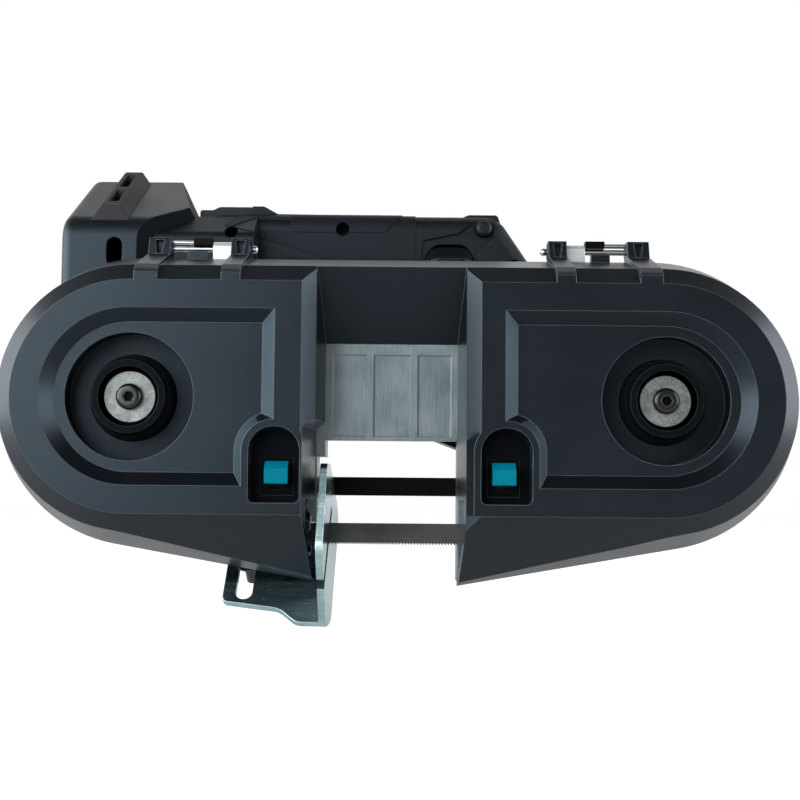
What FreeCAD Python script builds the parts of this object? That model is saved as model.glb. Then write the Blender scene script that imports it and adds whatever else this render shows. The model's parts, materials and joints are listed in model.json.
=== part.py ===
import FreeCAD
import Part
import Sketcher
import math
import os
from types import SimpleNamespace
from FreeCAD import Placement, Rotation, Vector

# Portable band saw, in millimetres. +X runs along the tool to the drive wheel, +Y from the blade
# cover to the motor, +Z up. While it is built, Y counts from the cover's front face, X from midway
# between the wheel axes and Z from the stopper's lowest corner. The last step moves every piece so
# that the origin is the middle of the underside.

doc = FreeCAD.newDocument("PortableBandSaw")
sheet = doc.addObject("Spreadsheet::Sheet", "Sizes")

SIZES = [
    # Wheels and blade
    ("axis_span", 258.4, "distance between the wheel axes"),
    ("axis_height", 111.0, "height of the wheel axes"),
    ("wheel_front", 24.5, "depth of the wheels' front side behind the cover face"),
    ("blade_width", 13.0, "width of the saw band"),
    ("blade_thickness", 0.5, "thickness of the saw band"),
    ("blade_tilt", 40.0, "tilt of the band's flat from upright, in the throat"),
    ("blade_drop", 1.75, "how far the guides press the band below the wheels"),
    ("tooth_pitch", 1.5, "pitch of the saw teeth"),
    ("tooth_depth", 1.3, "depth of the saw teeth"),
    ("tire_radius", 63.2, "outer radius of the wheel tires"),
    ("tire_thickness", 2.5, "thickness of the rubber tires"),
    ("rim_thickness", 5.2, "thickness of the wheel rims"),
    ("web_thickness", 4.0, "thickness of the wheel webs"),
    ("web_hole_radius", 9.0, "radius of the lightening holes in the wheels"),
    ("web_hole_circle", 35.0, "radius of the circle of lightening holes"),
    ("hub_radius", 11.0, "outer radius of the drive wheel's hub"),
    ("hub_front", 10.1, "depth of the hub's front end"),
    ("idler_hub_radius", 15.0, "outer radius of the idler wheel's hub"),
    ("shaft_radius", 6.0, "radius of the drive shaft and the idler axle"),
    ("bearing_radius", 11.0, "outer radius of the wheel bearings"),
    ("bearing_width", 7.0, "width of a wheel bearing"),
    ("washer_radius", 12.3, "radius of the wheel washers"),
    ("washer_thickness", 1.6, "thickness of the wheel washers"),
    ("screw_head_radius", 6.4, "head radius of the wheel screws"),
    ("screw_head_height", 3.9, "head height of the wheel screws"),
    ("socket_radius", 3.0, "radius of the socket in the wheel screws"),
    ("screw_radius", 3.0, "shank radius of the wheel screws"),
    ("screw_length", 16.0, "shank length of the wheel screws"),
    ("running_gap", 0.05, "radial clearance of a shaft or pin that turns"),
    ("part_gap", 0.3, "clearance between pieces that move past each other"),
    ("seat_gap", 0.1, "clearance between fixed pieces that rest on each other"),
    ("press_gap", 0.02, "radial clearance of a pressed fit"),
    # Blade guides
    ("guide_inset", 10.4, "distance from the throat wall to the guide rollers"),
    ("roller_radius", 8.5, "radius of the guide rollers"),
    ("roller_width", 6.0, "width of the guide rollers"),
    ("roller_pin_radius", 2.0, "radius of the guide pins"),
    ("bracket_thickness", 4.5, "thickness of the guide brackets"),
    ("bracket_width", 12.0, "width of the guide brackets"),
    ("bracket_reach", 12.5, "half height of the guide brackets across the blade"),
    ("thrust_gap", 0.6, "gap from the band's back edge to the bracket"),
    # Blade cover
    ("cover_depth", 41.0, "depth of the blade cover"),
    ("cover_wall", 2.6, "wall of the blade cover"),
    ("face_radius", 56.0, "radius of the cover's flat front face"),
    ("flare_front", 62.2, "radius of the flared wall carried to the front plane"),
    ("flare_back", 73.0, "radius of the flared wall at the parting plane"),
    ("outline_slope", 10.0, "slope of the lobes' undersides to the throat"),
    ("idler_reach", 89.1, "distance from the idler axis to the throat's left wall"),
    ("drive_reach", 95.5, "distance from the drive axis to the throat's right wall"),
    ("throat_draft", 3.4, "how much each throat wall leans in, to the back"),
    ("throat_step", 10.0, "drop from the axes to the step in the left wall"),
    ("throat_step_height", 3.5, "height of the step in the left wall"),
    ("recess_front", 5.2, "depth of the stopper's recess in the left wall, in front"),
    ("recess_back", 0.9, "depth of the stopper's recess in the left wall, at the back"),
    ("bevel_width", 6.2, "width of the bevel along the throat"),
    ("roof_drop", 43.0, "height of the roof's slope over the throat"),
    ("panel_radius", 42.5, "radius of the sunken panels"),
    ("panel_depth", 6.3, "depth of the sunken panels"),
    ("panel_inset", 19.0, "distance from the throat's left wall to the left panel's straight edge"),
    ("drive_panel_inset", 17.8, "distance from the throat's right wall to the right panel's edge"),
    ("bowl_radius", 31.0, "radius of the bowls round the wheel hubs"),
    ("bowl_depth", 18.0, "depth of the bowls"),
    ("ring_radius", 17.7, "outer radius of the raised rings"),
    ("ring_base_radius", 21.8, "outer radius of the raised rings at the bowl floor"),
    ("ring_front", 4.0, "depth of the raised rings' front edge"),
    ("ring_hole_radius", 14.5, "radius of the rings' holes at the front"),
    ("ring_hole_back", 19.4, "radius of the rings' holes at the bowl floor"),
    ("pocket_near", 6.3, "distance from the throat wall to the latch pocket"),
    ("pocket_width", 24.4, "width of the latch pockets"),
    ("pocket_top", 14.0, "drop from the axes to the top of the latch pockets"),
    ("pocket_bottom", 50.4, "drop from the axes to the bottom of the latch pockets"),
    ("pocket_depth", 9.0, "depth of the latch pockets"),
    ("pocket_rim", 3.4, "width of the rim round the latch pockets"),
    ("pocket_slope", 4.0, "spread of the rim's outer slope"),
    ("notch_half", 17.0, "half height of the blade's notch in the throat walls"),
    ("notch_depth", 12.5, "depth where the blade's notch starts"),
    ("latch_width", 11.2, "width of the latch buttons"),
    ("latch_height", 11.0, "height of the latch buttons"),
    ("latch_front", 1.5, "depth of the latch buttons' front face"),
    ("latch_drop", 30.4, "drop from the axes to the top of the latch buttons"),
    ("latch_travel", 5.0, "travel of the latches"),
    ("latch_stem", 6.0, "width of the latch stems"),
    ("window_width", 15.4, "width of the sunken window round a latch button"),
    ("window_height", 18.0, "height of the sunken window round a latch button"),
    ("window_depth", 1.0, "depth of the sunken window round a latch button"),
    # Hinges
    ("hinge_rise", 5.6, "height of the hinge pins above the cover's back edge"),
    ("hinge_setback", 4.0, "distance of the hinge pins behind the cover"),
    ("pin_radius", 1.5, "radius of the hinge pins"),
    ("pin_head_radius", 2.0, "radius of the hinge pins' round heads"),
    ("pin_overhang", 1.8, "how far the hinge pins stand out towards the throat"),
    ("pin_tail", 1.0, "how far the hinge pins stand out at their far ends"),
    ("knuckle_radius", 4.8, "radius of the hinge knuckles"),
    ("hinge_inset", 53.2, "distance from the wheel axes in to the inner knuckles"),
    ("inner_knuckle_width", 9.2, "width of the inner knuckles"),
    ("lug_width", 9.4, "width of the frame's hinge lugs"),
    ("block_width", 9.8, "width of the rod blocks"),
    ("rod_span", 11.0, "free length of the upper rods"),
    ("outer_knuckle_width", 11.0, "width of the outer knuckles"),
    ("rod_radius", 1.2, "radius of the upper rods"),
    ("rod_seat", 6.6, "length of the upper rods inside the outer knuckles"),
    ("rod_rise", 3.3, "height of the upper rods above the pins"),
    ("block_height", 4.0, "height of the rod blocks"),
    ("block_depth", 6.0, "depth of the rod blocks"),
    ("arm_thickness", 2.8, "thickness of the cover's hinge arms"),
    ("arm_foot", 3.8, "height of the hinge arms' fronts over the flat face"),
    ("arm_slope", 4.4, "height of the slope over the hinge arms' fronts"),
    ("arm_block", 9.0, "depth of the hinge arms' end blocks before the pins"),
    ("dimple_width", 4.7, "width of the dimples in the end blocks, on top"),
    ("dimple_foot", 2.7, "width of the dimples in the end blocks, below"),
    ("tab_inset", 31.7, "distance from the wheel axes in to the tabs on the cover's back edge"),
    ("tab_width", 9.6, "width of the tabs on the cover's back edge"),
    ("tab_height", 3.4, "height of the tabs above the cover's back edge"),
    # Frame
    ("frame_depth", 24.7, "depth of the cast frame"),
    ("frame_plate", 4.5, "thickness of the frame's plate"),
    ("frame_wall", 4.0, "thickness of the frame's walls"),
    ("frame_inset", 1.5, "how far the frame stands inside the cover's outline"),
    ("web_bottom", 19.0, "drop from the axes to the web's lower edge"),
    ("web_recess", 1.6, "depth of the web's sunken panel"),
    ("web_rim", 3.6, "width of the web's raised rim"),
    ("web_rib_width", 3.8, "width of the web's ribs"),
    ("boss_radius", 16.0, "radius of the drive bearing boss"),
    ("carriage_length", 42.0, "length of the idler carriage"),
    ("carriage_height", 28.0, "height of the idler carriage"),
    ("carriage_depth", 11.5, "depth of the idler carriage"),
    ("carriage_travel", 3.0, "travel of the idler carriage"),
    ("rail_height", 3.8, "height of the carriage rails"),
    ("spring_radius", 5.0, "radius of the tension spring"),
    ("spring_length", 13.0, "length of the tension spring, pressed together"),
    ("bar_height", 9.6, "height of the rear guard bar"),
    ("bar_thickness", 4.0, "thickness of the rear guard bar"),
    ("bar_lap", 17.9, "how far the rear guard bar reaches past the throat on each side"),
    ("bar_drop", 42.0, "drop from the axes to the middle of the guard bar"),
    ("small_screw_radius", 2.0, "shank radius of the small screws"),
    ("small_head_radius", 3.6, "head radius of the small screws"),
    ("small_head_height", 2.4, "head height of the small screws"),
    ("back_cover_thickness", 3.0, "thickness of the idler side's back cover"),
    ("lever_length", 40.0, "length of the tension lever"),
    ("lever_width", 13.0, "width of the tension lever"),
    ("lever_thickness", 5.0, "thickness of the tension lever"),
    ("lever_shaft_radius", 4.0, "radius of the tension lever's shaft"),
    ("cam_width", 6.7, "width of the tension cam"),
    ("cam_throw", 2.0, "distance of the cam's middle from its shaft"),
    ("cam_radius", 7.0, "radius of the tension cam"),
    ("lever_x", 21.0, "distance of the lever's shaft outside the idler axis"),
    ("lever_drop", 38.0, "drop from the axes to the lever's shaft"),
    # Stopper
    ("stopper_thickness", 3.5, "thickness of the stopper plate"),
    ("stopper_gap", 1.5, "gap from the throat's left wall to the stopper"),
    ("stopper_height", 80.0, "height of the stopper plate"),
    ("stopper_depth", 77.0, "depth of the stopper plate"),
    ("stopper_front", 2.5, "depth of the stopper's nearest corner"),
    ("stopper_yaw", 3.4, "turn of the stopper, its back towards the throat"),
    ("stopper_slot", 5.0, "width of the blade's slot in the stopper"),
    ("stopper_travel", 8.0, "travel of the stopper"),
    ("stopper_screw_level", 5.0, "height of the stopper's screw, along the flange"),
    ("flange_length", 50.0, "length of the stopper's flange"),
    ("flange_setback", 6.5, "distance of the flange behind the cover's edge"),
    ("flange_level", 26.0, "height where the flange's setback is measured"),
    ("flange_slot", 8.4, "width of the slot in the flange"),
    # Gears and motor
    ("gear_module", 1.0, "module of the gears"),
    ("output_teeth", 80, "teeth of the output gear"),
    ("lay_pinion_teeth", 17, "teeth of the lay pinion"),
    ("lay_gear_teeth", 52, "teeth of the lay gear"),
    ("motor_pinion_teeth", 10, "teeth of the motor pinion"),
    ("backlash", 0.36, "backlash of the gears"),
    ("lay_angle", 150.0, "direction from the drive shaft to the lay shaft"),
    ("gear_width", 9.0, "face width of the output gear"),
    ("lay_gear_width", 6.5, "face width of the lay gear"),
    ("lay_shaft_radius", 3.0, "radius of the lay shaft and the rotor shaft"),
    ("gear_plate_thickness", 2.5, "thickness of the gear plate"),
    ("gearcase_radius", 55.0, "radius of the gear housing round the drive shaft"),
    ("gearcase_tail_radius", 36.0, "radius of the gear housing's far end"),
    ("gearcase_tail_x", 25.0, "place of the gear housing's far end"),
    ("gearcase_tail_rise", 19.0, "height of the gear housing's far end above the axes"),
    ("gearcase_depth", 24.0, "depth of the gear housing"),
    ("gearcase_wall", 3.0, "wall of the gear and motor housings"),
    ("motor_radius", 29.0, "outer radius of the motor housing"),
    ("motor_length", 65.0, "length of the motor housing"),
    ("stator_length", 38.0, "length of the stator"),
    ("rotor_radius", 14.0, "radius of the rotor"),
    ("air_gap", 0.8, "gap between rotor and stator"),
    ("rotor_bearing_radius", 7.0, "outer radius of the rotor bearing"),
    ("rotor_bearing_width", 4.8, "width of the rotor bearing"),
    ("fan_radius", 24.0, "radius of the cooling fan"),
    ("fan_thickness", 5.0, "thickness of the cooling fan"),
    ("vent_width", 2.4, "width of the motor's vents"),
    # Handle
    ("handle_front", 100.0, "depth of the handle's front side"),
    ("handle_depth", 40.0, "depth of the handle"),
    ("handle_wall", 3.0, "wall of the handle shells"),
    ("handle_round", 10.0, "rounding of the handle's long edges"),
    ("handle_top", 220.4, "height of the grip's top"),
    ("grip_height", 33.9, "height of the grip"),
    ("collar_rise", 4.8, "height of the collar over the rear leg"),
    ("shoulder_rise", 3.0, "height of the handle's rear shoulder over the grip"),
    ("nose_rise", 1.4, "height of the handle's nose over the grip"),
    ("neck_front", 82.0, "depth of the neck between handle and battery block"),
    ("neck_top", 205.0, "height of the neck's front edge"),
    ("neck_back_top", 218.4, "height where the neck meets the handle's front"),
    ("neck_low", 160.0, "height of the neck's underside"),
    ("neck_reach", 26.0, "how far the neck reaches past the rear leg to the block"),
    ("neck_end", 33.0, "how far the neck reaches along the handle"),
    ("trigger_recess", 1.8, "depth of the hollow round the trigger"),
    ("trigger_arch", 9.0, "rounding of the trigger's top corners"),
    ("trigger_level", 6.0, "height of the trigger's middle over the grip's underside"),
    ("leg_left", 112.0, "distance of the rear leg's outer side from the middle"),
    ("leg_width", 36.0, "width of the rear leg"),
    ("leg_bottom", 96.0, "height of the rear leg's lower end"),
    ("nose_x", 55.0, "place of the grip's nose"),
    ("trigger_x", 28.0, "place of the trigger's middle"),
    ("trigger_width", 28.0, "width of the trigger"),
    ("trigger_height", 16.0, "height of the trigger"),
    ("trigger_reach", 6.0, "how far the trigger stands out"),
    ("trigger_travel", 5.0, "travel of the trigger"),
    ("trigger_spring_radius", 3.0, "radius of the trigger spring"),
    ("trigger_spring_length", 3.0, "length of the trigger spring"),
    ("trigger_stem", 8.0, "length of the trigger's stem inside the grip"),
    ("button_x", 46.8, "place of the lock-off button"),
    ("button_level", 212.2, "height of the lock-off button"),
    ("button_radius", 4.5, "radius of the lock-off button"),
    ("button_reach", 3.6, "how far the lock-off button stands out"),
    ("button_travel", 2.5, "travel of the lock-off button"),
    ("switch_length", 26.0, "length of the switch"),
    ("board_width", 26.0, "width of the control board's block"),
    ("board_height", 65.0, "height of the control board's block"),
    ("board_foot", 10.0, "height of the control board above the rear leg's end"),
    ("screw_boss_radius", 5.0, "radius of the screw bosses in the handle"),
    ("screw_recess_radius", 3.8, "radius of the handle's screw recesses"),
    # Battery end
    ("block_front", 75.0, "depth of the battery block's front side"),
    ("block_back", 150.0, "depth of the battery block's back side"),
    ("block_low", 152.0, "height of the battery block's underside"),
    ("block_brow", 210.0, "height of the battery block's front top edge"),
    ("block_crown", 250.0, "height of the battery block's back top edge"),
    ("block_length", 69.6, "length of the battery block"),
    ("block_wall", 3.0, "wall of the battery block"),
    ("battery_slot_depth", 10.0, "depth of the battery slot"),
    ("battery_slot_width", 50.0, "width of the battery slot"),
    ("battery_slot_height", 46.0, "height of the battery slot"),
    ("rail_size", 3.0, "size of the battery rails"),
    ("bumper_base", 20.0, "width of the bumper's foot"),
    ("bumper_top", 10.0, "width of the bumper's top"),
    ("bumper_height", 7.2, "height of the bumper"),
    ("bumper_place", 43.6, "distance of the bumper from the rear leg"),
    ("bumper_setback", 4.0, "distance of the bumper behind the block's front"),
    ("bumper_slot", 5.2, "width of the slots in the bumper"),
    ("bumper_slot_depth", 5.0, "depth of the slots in the bumper"),
    ("cheek_width", 28.5, "width of the battery block's slanted front corner"),
    ("cheek_depth", 27.0, "depth of the battery block's slanted front corner"),
    ("shoulder_width", 17.0, "width of the battery block's slanted top corner"),
    ("shoulder_height", 36.0, "height of the battery block's slanted top corner"),
    ("crown_inset", 18.0, "how far the block's top leans in at the back"),
    ("brow_inset", 4.0, "how far the block's top leans in at the front"),
    ("crown_drop", 34.0, "height of the leaning part of the block's outer side"),
    ("eyelet_x", 40.4, "distance of the block's oval eyelet from the rear leg"),
    ("eyelet_width", 8.6, "width of the block's oval eyelet"),
    ("eyelet_height", 15.4, "height of the block's oval eyelet"),
    ("eyelet_level", 193.6, "height of the block's oval eyelet"),
]
for row, (alias, value, meaning) in enumerate(SIZES, start=1):
    sheet.set(f"A{row}", meaning)
    sheet.set(f"B{row}", str(value))
    sheet.setAlias(f"B{row}", alias)
doc.recompute()
s = SimpleNamespace(**{alias: float(sheet.get(alias)) for alias, value, meaning in SIZES})

s.throat_left = s.axis_span / 2 - s.idler_reach
s.throat_right = s.axis_span / 2 - s.drive_reach

ALONG_X = Rotation(Vector(0, 1, 0), 90)
ALONG_Y = Rotation(Vector(1, 0, 0), -90)
OUTWARDS = {-1: Rotation(Vector(0, 1, 0), -90), 1: ALONG_X}
SIDES = {"left": -1, "right": 1}
nodes = []


def node(thing, label):
    """Name a finished piece and list it for writing."""
    thing.Label = label
    nodes.append(thing)
    return thing


def feature(label, shape):
    """A finished piece whose shape is worked out here."""
    thing = doc.addObject("Part::Feature", label)
    thing.Shape = shape
    return node(thing, label)


def cylinder(name, radius, length, base, turn=ALONG_Y):
    """Cylinder with its radius and length bound to the sheet."""
    thing = doc.addObject("Part::Cylinder", name)
    thing.setExpression("Radius", radius)
    thing.setExpression("Height", length)
    thing.Placement = Placement(base, turn)
    return thing


def box(name, length, width, height, base, turn=Rotation()):
    """Box with its three sides bound to the sheet."""
    thing = doc.addObject("Part::Box", name)
    thing.setExpression("Length", length)
    thing.setExpression("Width", width)
    thing.setExpression("Height", height)
    thing.Placement = Placement(base, turn)
    return thing


def fuse(name, *things):
    """Several solids joined into one piece."""
    thing = doc.addObject("Part::MultiFuse", name)
    thing.Shapes = list(things)
    return thing


def cut(name, base, *tools):
    """A solid with other solids taken out of it."""
    thing = doc.addObject("Part::Cut", name)
    thing.Base = base
    thing.Tool = tools[0] if len(tools) == 1 else fuse(name + "_tools", *tools)
    return thing


def tube(name, outer, inner, length, base, turn=ALONG_Y):
    """Round sleeve, bearing or ring."""
    return cut(
        name,
        cylinder(name + "_outside", outer, length, base, turn),
        cylinder(name + "_bore", inner, length, base, turn),
    )


def at_y(depth):
    """Maps outline points in X and Z to a plane at one depth."""
    return lambda point: Vector(point.x, depth, point.y)


def at_x(place):
    """Maps outline points in Y and Z to a plane at one place along the tool."""
    return lambda point: Vector(place, point.x, point.y)


def corner_wire(corners, place):
    """Closed wire through corners of (u, v, radius), each rounded by its own radius."""
    stops = []
    for index, (u, v, radius) in enumerate(corners):
        here = Vector(u, v, 0)
        before = Vector(*corners[index - 1][:2], 0)
        after = Vector(*corners[(index + 1) % len(corners)][:2], 0)
        back = (before - here).normalize()
        ahead = (after - here).normalize()
        half_angle = back.getAngle(ahead) / 2
        reach = radius / math.tan(half_angle)
        middle = here + (back + ahead).normalize() * (radius / math.sin(half_angle) - radius)
        stops.append((here + back * reach, middle, here + ahead * reach, radius))
    edges = []
    for index, (start, middle, end, radius) in enumerate(stops):
        if radius > 0:
            edges.append(Part.Arc(place(start), place(middle), place(end)).toShape())
        following = stops[(index + 1) % len(stops)][0]
        if (following - end).Length > 1e-6:
            edges.append(Part.LineSegment(place(end), place(following)).toShape())
    return Part.Wire(edges)


def prism(corners, place, along):
    """Rounded outline pushed along a vector."""
    return Part.Face(corner_wire(corners, place)).extrude(along)


def block(low, high):
    """Plain box between two corners."""
    return Part.makeBox(high[0] - low[0], high[1] - low[1], high[2] - low[2], Vector(*low))


def rod(radius, start, end):
    """Round bar between two points."""
    return Part.makeCylinder(radius, (end - start).Length, start, end - start)


def cone(radius_front, radius_back, centre, front, back):
    """Cone on a wheel axis between two depths."""
    base = Vector(centre[0], front, centre[1])
    return Part.makeCone(radius_front, radius_back, back - front, base, Vector(0, 1, 0))


def union(shapes):
    """Several shapes joined into one."""
    return shapes[0].multiFuse(shapes[1:])


# Places that several pieces share
half_span = s.axis_span / 2
axis_z = s.axis_height
left_axis = Vector(-half_span, 0, axis_z)
right_axis = Vector(half_span, 0, axis_z)
throat_edge = {"left": -s.throat_left, "right": s.throat_right}
past = 5.0
frame_front = s.cover_depth + s.part_gap
frame_back = frame_front + s.frame_depth
plate_back = frame_front + s.frame_plate
tilt = math.radians(s.blade_tilt)
feed_up = Vector(0, math.sin(tilt), math.cos(tilt))
work_way = Vector(0, math.cos(tilt), -math.sin(tilt))
blade_y = s.wheel_front + s.blade_width / 2
wheel_run = s.tire_radius + s.part_gap
band_radius = wheel_run + s.blade_thickness / 2
blade_z = axis_z - band_radius - s.blade_drop
guide_x = {side: throat_edge[side] + sign * s.guide_inset for side, sign in SIDES.items()}
guide_pin_reach = s.blade_width / 2 + s.thrust_gap + s.bracket_thickness - 0.5
hinge_y = s.cover_depth + s.hinge_setback
hinge_z = axis_z + s.flare_back + s.hinge_rise


def depth_point(point, depth):
    """The same point at another depth."""
    return Vector(point.x, depth, point.z)


# Blade cover
flare_rate = (s.flare_back - s.flare_front) / s.cover_depth
flare_cosine = math.cos(math.atan(flare_rate))


def flare_radius(depth, inset=0.0):
    """Radius of the flared wall at a depth, or of its inner side."""
    return s.flare_front + flare_rate * depth - inset / flare_cosine


def flared_wire(radius, depth):
    """Whole outline of both lobes: round ends, flat top, undersides sloping to the throat."""
    slope = math.radians(s.outline_slope)
    side = half_span + radius * math.sin(slope)
    low = axis_z - radius * math.cos(slope)
    points = {
        "top_left": Vector(-half_span, depth, axis_z + radius),
        "top_right": Vector(half_span, depth, axis_z + radius),
        "right_end": Vector(half_span + radius, depth, axis_z),
        "low_right": Vector(side, depth, low),
        "keel": Vector(0, depth, low - side * math.tan(slope)),
        "low_left": Vector(-side, depth, low),
        "left_end": Vector(-half_span - radius, depth, axis_z),
    }
    return Part.Wire([
        Part.LineSegment(points["top_left"], points["top_right"]).toShape(),
        Part.Arc(points["top_right"], points["right_end"], points["low_right"]).toShape(),
        Part.LineSegment(points["low_right"], points["keel"]).toShape(),
        Part.LineSegment(points["keel"], points["low_left"]).toShape(),
        Part.Arc(points["low_left"], points["left_end"], points["top_left"]).toShape(),
    ])


def lobe_wire(side, radius, edge_x, depth):
    """Front outline of one lobe: round outside, straight beside the throat."""
    sign = SIDES[side]
    centre_x = sign * half_span
    top_edge = Vector(edge_x, depth, axis_z + radius)
    top = Vector(centre_x, depth, axis_z + radius)
    end = Vector(centre_x + sign * radius, depth, axis_z)
    low = Vector(centre_x, depth, axis_z - radius)
    low_edge = Vector(edge_x, depth, axis_z - radius)
    return Part.Wire([
        Part.LineSegment(top_edge, top).toShape(),
        Part.Arc(top, end, low).toShape(),
        Part.LineSegment(low, low_edge).toShape(),
        Part.LineSegment(low_edge, top_edge).toShape(),
    ])


def ruled(wires):
    """Straight walled solid between two outlines."""
    return Part.makeLoft(wires, True, True)


def lobe_form(side, front, back, inset):
    """One lobe that widens by 45 degrees from the front face."""
    sign = SIDES[side]
    slant = inset * math.sqrt(2)
    wires = []
    for depth in (front, back):
        edge_x = throat_edge[side] + sign * (s.bevel_width - depth + slant)
        wires.append(lobe_wire(side, s.face_radius + depth - slant, edge_x, depth))
    return ruled(wires)


def throat_form(widen):
    """The throat's space, as wide as its walls or wider by a wall, with a recess for the stopper."""
    low, high = -past, hinge_z + 2 * past
    step_top = axis_z - s.throat_step
    step_low = step_top - s.throat_step_height
    wires = []
    for depth in (-past, s.cover_depth + past):
        share = depth / s.cover_depth
        left = -s.throat_left + s.throat_draft * share - widen
        recess = -s.throat_left - s.recess_front + (s.recess_front - s.recess_back) * share - widen
        right = s.throat_right - s.throat_draft * share + widen
        points = [(recess, low), (right, low), (right, high), (left, high), (left, step_top),
                  (recess, step_low)]
        corners = [Vector(x, depth, z) for x, z in points]
        wires.append(Part.makePolygon(corners + corners[:1]))
    return ruled(wires)


def meet(first, second):
    """Crossing of two lines in Y and Z, each given by two points."""
    (y1, z1), (y2, z2) = first
    (y3, z3), (y4, z4) = second
    scale = (y1 - y2) * (z3 - z4) - (z1 - z2) * (y3 - y4)
    one = y1 * z2 - z1 * y2
    two = y3 * z4 - z3 * y4
    y = (one * (y3 - y4) - (y1 - y2) * two) / scale
    z = (one * (z3 - z4) - (z1 - z2) * two) / scale
    return y, z


brow_y = (s.flare_front - s.face_radius) / (1 - flare_rate)
brow_z = axis_z + s.face_radius + brow_y
roof_back_z = axis_z + s.flare_back - s.roof_drop


def bridge_form(inset, back, spread):
    """Wedge over the throat: flared on top, with a roof that slopes down to the back."""
    run, fall = s.cover_depth - brow_y, brow_z - roof_back_z
    length = math.hypot(run, fall)
    shift = (inset * fall / length, inset * run / length)
    roof = [(brow_y + shift[0], brow_z + shift[1]), (s.cover_depth + shift[0], roof_back_z + shift[1])]
    top = [(depth, axis_z + flare_radius(depth, inset)) for depth in (0.0, back)]
    nose = meet(roof, top)
    heel = meet(roof, [(back, 0.0), (back, hinge_z)])
    corners = [(*nose, 0), (*top[1], 0), (*heel, 0)]
    start = -s.throat_left - spread
    width = s.throat_left + s.throat_right + 2 * spread
    return prism(corners, at_x(start), Vector(width, 0, 0))


def cover_form(inset):
    """The cover's outside, or the hollow inside it when given the wall."""
    hollow = inset > 0
    front, back = inset, s.cover_depth + (past if hollow else 0.0)
    flared = ruled([flared_wire(flare_radius(depth, inset), depth) for depth in (front, back)])
    lobes = lobe_form("left", front, back, inset).fuse(lobe_form("right", front, back, inset))
    spread = 3 * s.cover_wall if hollow else s.cover_wall * 0.9
    return flared.common(lobes).cut(throat_form(inset)).fuse(bridge_form(inset, back, spread))


def arch(side, near, far, top, low, depth):
    """Arched outline beside the throat, from distances to its wall and heights."""
    sign = SIDES[side]
    ends = sorted((throat_edge[side] + sign * near, throat_edge[side] + sign * far))
    radius = 0.48 * (ends[1] - ends[0])
    foot = 0.12 * (ends[1] - ends[0])
    corners = [(ends[0], low, foot), (ends[1], low, foot), (ends[1], top, radius), (ends[0], top, radius)]
    return corner_wire(corners, at_y(depth))


def panel_wire(side, shrink, depth):
    """Outline of a lobe's sunken panel."""
    inset = {"left": s.panel_inset, "right": s.drive_panel_inset}[side]
    edge_x = throat_edge[side] + SIDES[side] * (inset + shrink)
    return lobe_wire(side, s.panel_radius - shrink, edge_x, depth)


pocket_top_z = axis_z - s.pocket_top
pocket_low_z = axis_z - s.pocket_bottom
pocket_far = s.pocket_near + s.pocket_width
latch_top_z = axis_z - s.latch_drop
latch_low_z = latch_top_z - s.latch_height
latch_x = {
    side: throat_edge[side] + sign * (s.pocket_near + s.pocket_width / 2 - 1.0)
    for side, sign in SIDES.items()
}


def lobe_backing(side):
    """Walls behind the sunken panel, the bowl and the latch pocket of one lobe."""
    sign = SIDES[side]
    centre = Vector(sign * half_span, 0, axis_z)
    wall = s.cover_wall
    back = Vector(0, s.panel_depth + wall / 2, 0)
    panel = Part.Face(panel_wire(side, -wall / 2, wall / 2)).extrude(back)
    bowl_back = depth_point(centre, s.bowl_depth + wall)
    bowl = rod(s.bowl_radius + wall, depth_point(centre, wall), bowl_back)
    near, far = s.pocket_near - 2 * wall, pocket_far + wall
    outline = arch(side, near, far, pocket_top_z + wall, pocket_low_z - wall, wall / 2)
    pocket = Part.Face(outline).extrude(Vector(0, s.pocket_depth + wall / 2, 0))
    return [panel, bowl, pocket]


def pocket_rim_form(side):
    """Raised rim round one latch pocket, level with the flat face and sloping down outside."""
    low = axis_z - s.face_radius - past
    near, far, top = s.pocket_near - s.pocket_rim, pocket_far + s.pocket_rim, pocket_top_z + s.pocket_rim
    return ruled([
        arch(side, near, far, top, low, 0.0),
        arch(side, near - s.pocket_slope, far + s.pocket_slope, top + s.pocket_slope, low, s.panel_depth),
    ])


def lobe_sinks(side):
    """What is sunk into one lobe's face: panel round the latch rim, bowl and latch pocket."""
    centre = Vector(SIDES[side] * half_span, 0, axis_z)
    panel = ruled([panel_wire(side, 0.0, 0.0), panel_wire(side, s.panel_depth, s.panel_depth)])
    rim = pocket_rim_form(side)
    bowl = rod(s.bowl_radius, centre, depth_point(centre, s.bowl_depth))
    pocket = Part.Face(arch(side, s.pocket_near, pocket_far, pocket_top_z, pocket_low_z, -past))
    slot_low = latch_top_z - s.latch_height / 2 - s.latch_stem / 2 - s.latch_travel - s.part_gap
    slot_high = latch_top_z - s.latch_height / 2 + s.latch_stem / 2 + s.part_gap
    half_slot = s.latch_stem / 2 + s.part_gap
    slot = block((latch_x[side] - half_slot, 0, slot_low),
                 (latch_x[side] + half_slot, 2 * s.pocket_depth, slot_high))
    window_top = latch_top_z + 1.6
    window = block((latch_x[side] - s.window_width / 2, 0, window_top - s.window_height),
                   (latch_x[side] + s.window_width / 2, s.pocket_depth + s.window_depth, window_top))
    return [panel.cut(rim), bowl, pocket.extrude(Vector(0, past + s.pocket_depth, 0)), slot, window]


def hinge_stations(sign):
    """Distances along X of one hinge's pieces, from the throat outwards."""
    stops = {"inner_knuckle": half_span - s.hinge_inset}
    stops["lug"] = stops["inner_knuckle"] + s.inner_knuckle_width + s.part_gap
    stops["block"] = stops["lug"] + s.lug_width + s.part_gap
    stops["rod"] = stops["block"] + s.block_width
    stops["outer_knuckle"] = stops["rod"] + s.rod_span
    stops["end"] = stops["outer_knuckle"] + s.outer_knuckle_width
    return {name: sign * distance for name, distance in stops.items()}


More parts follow.
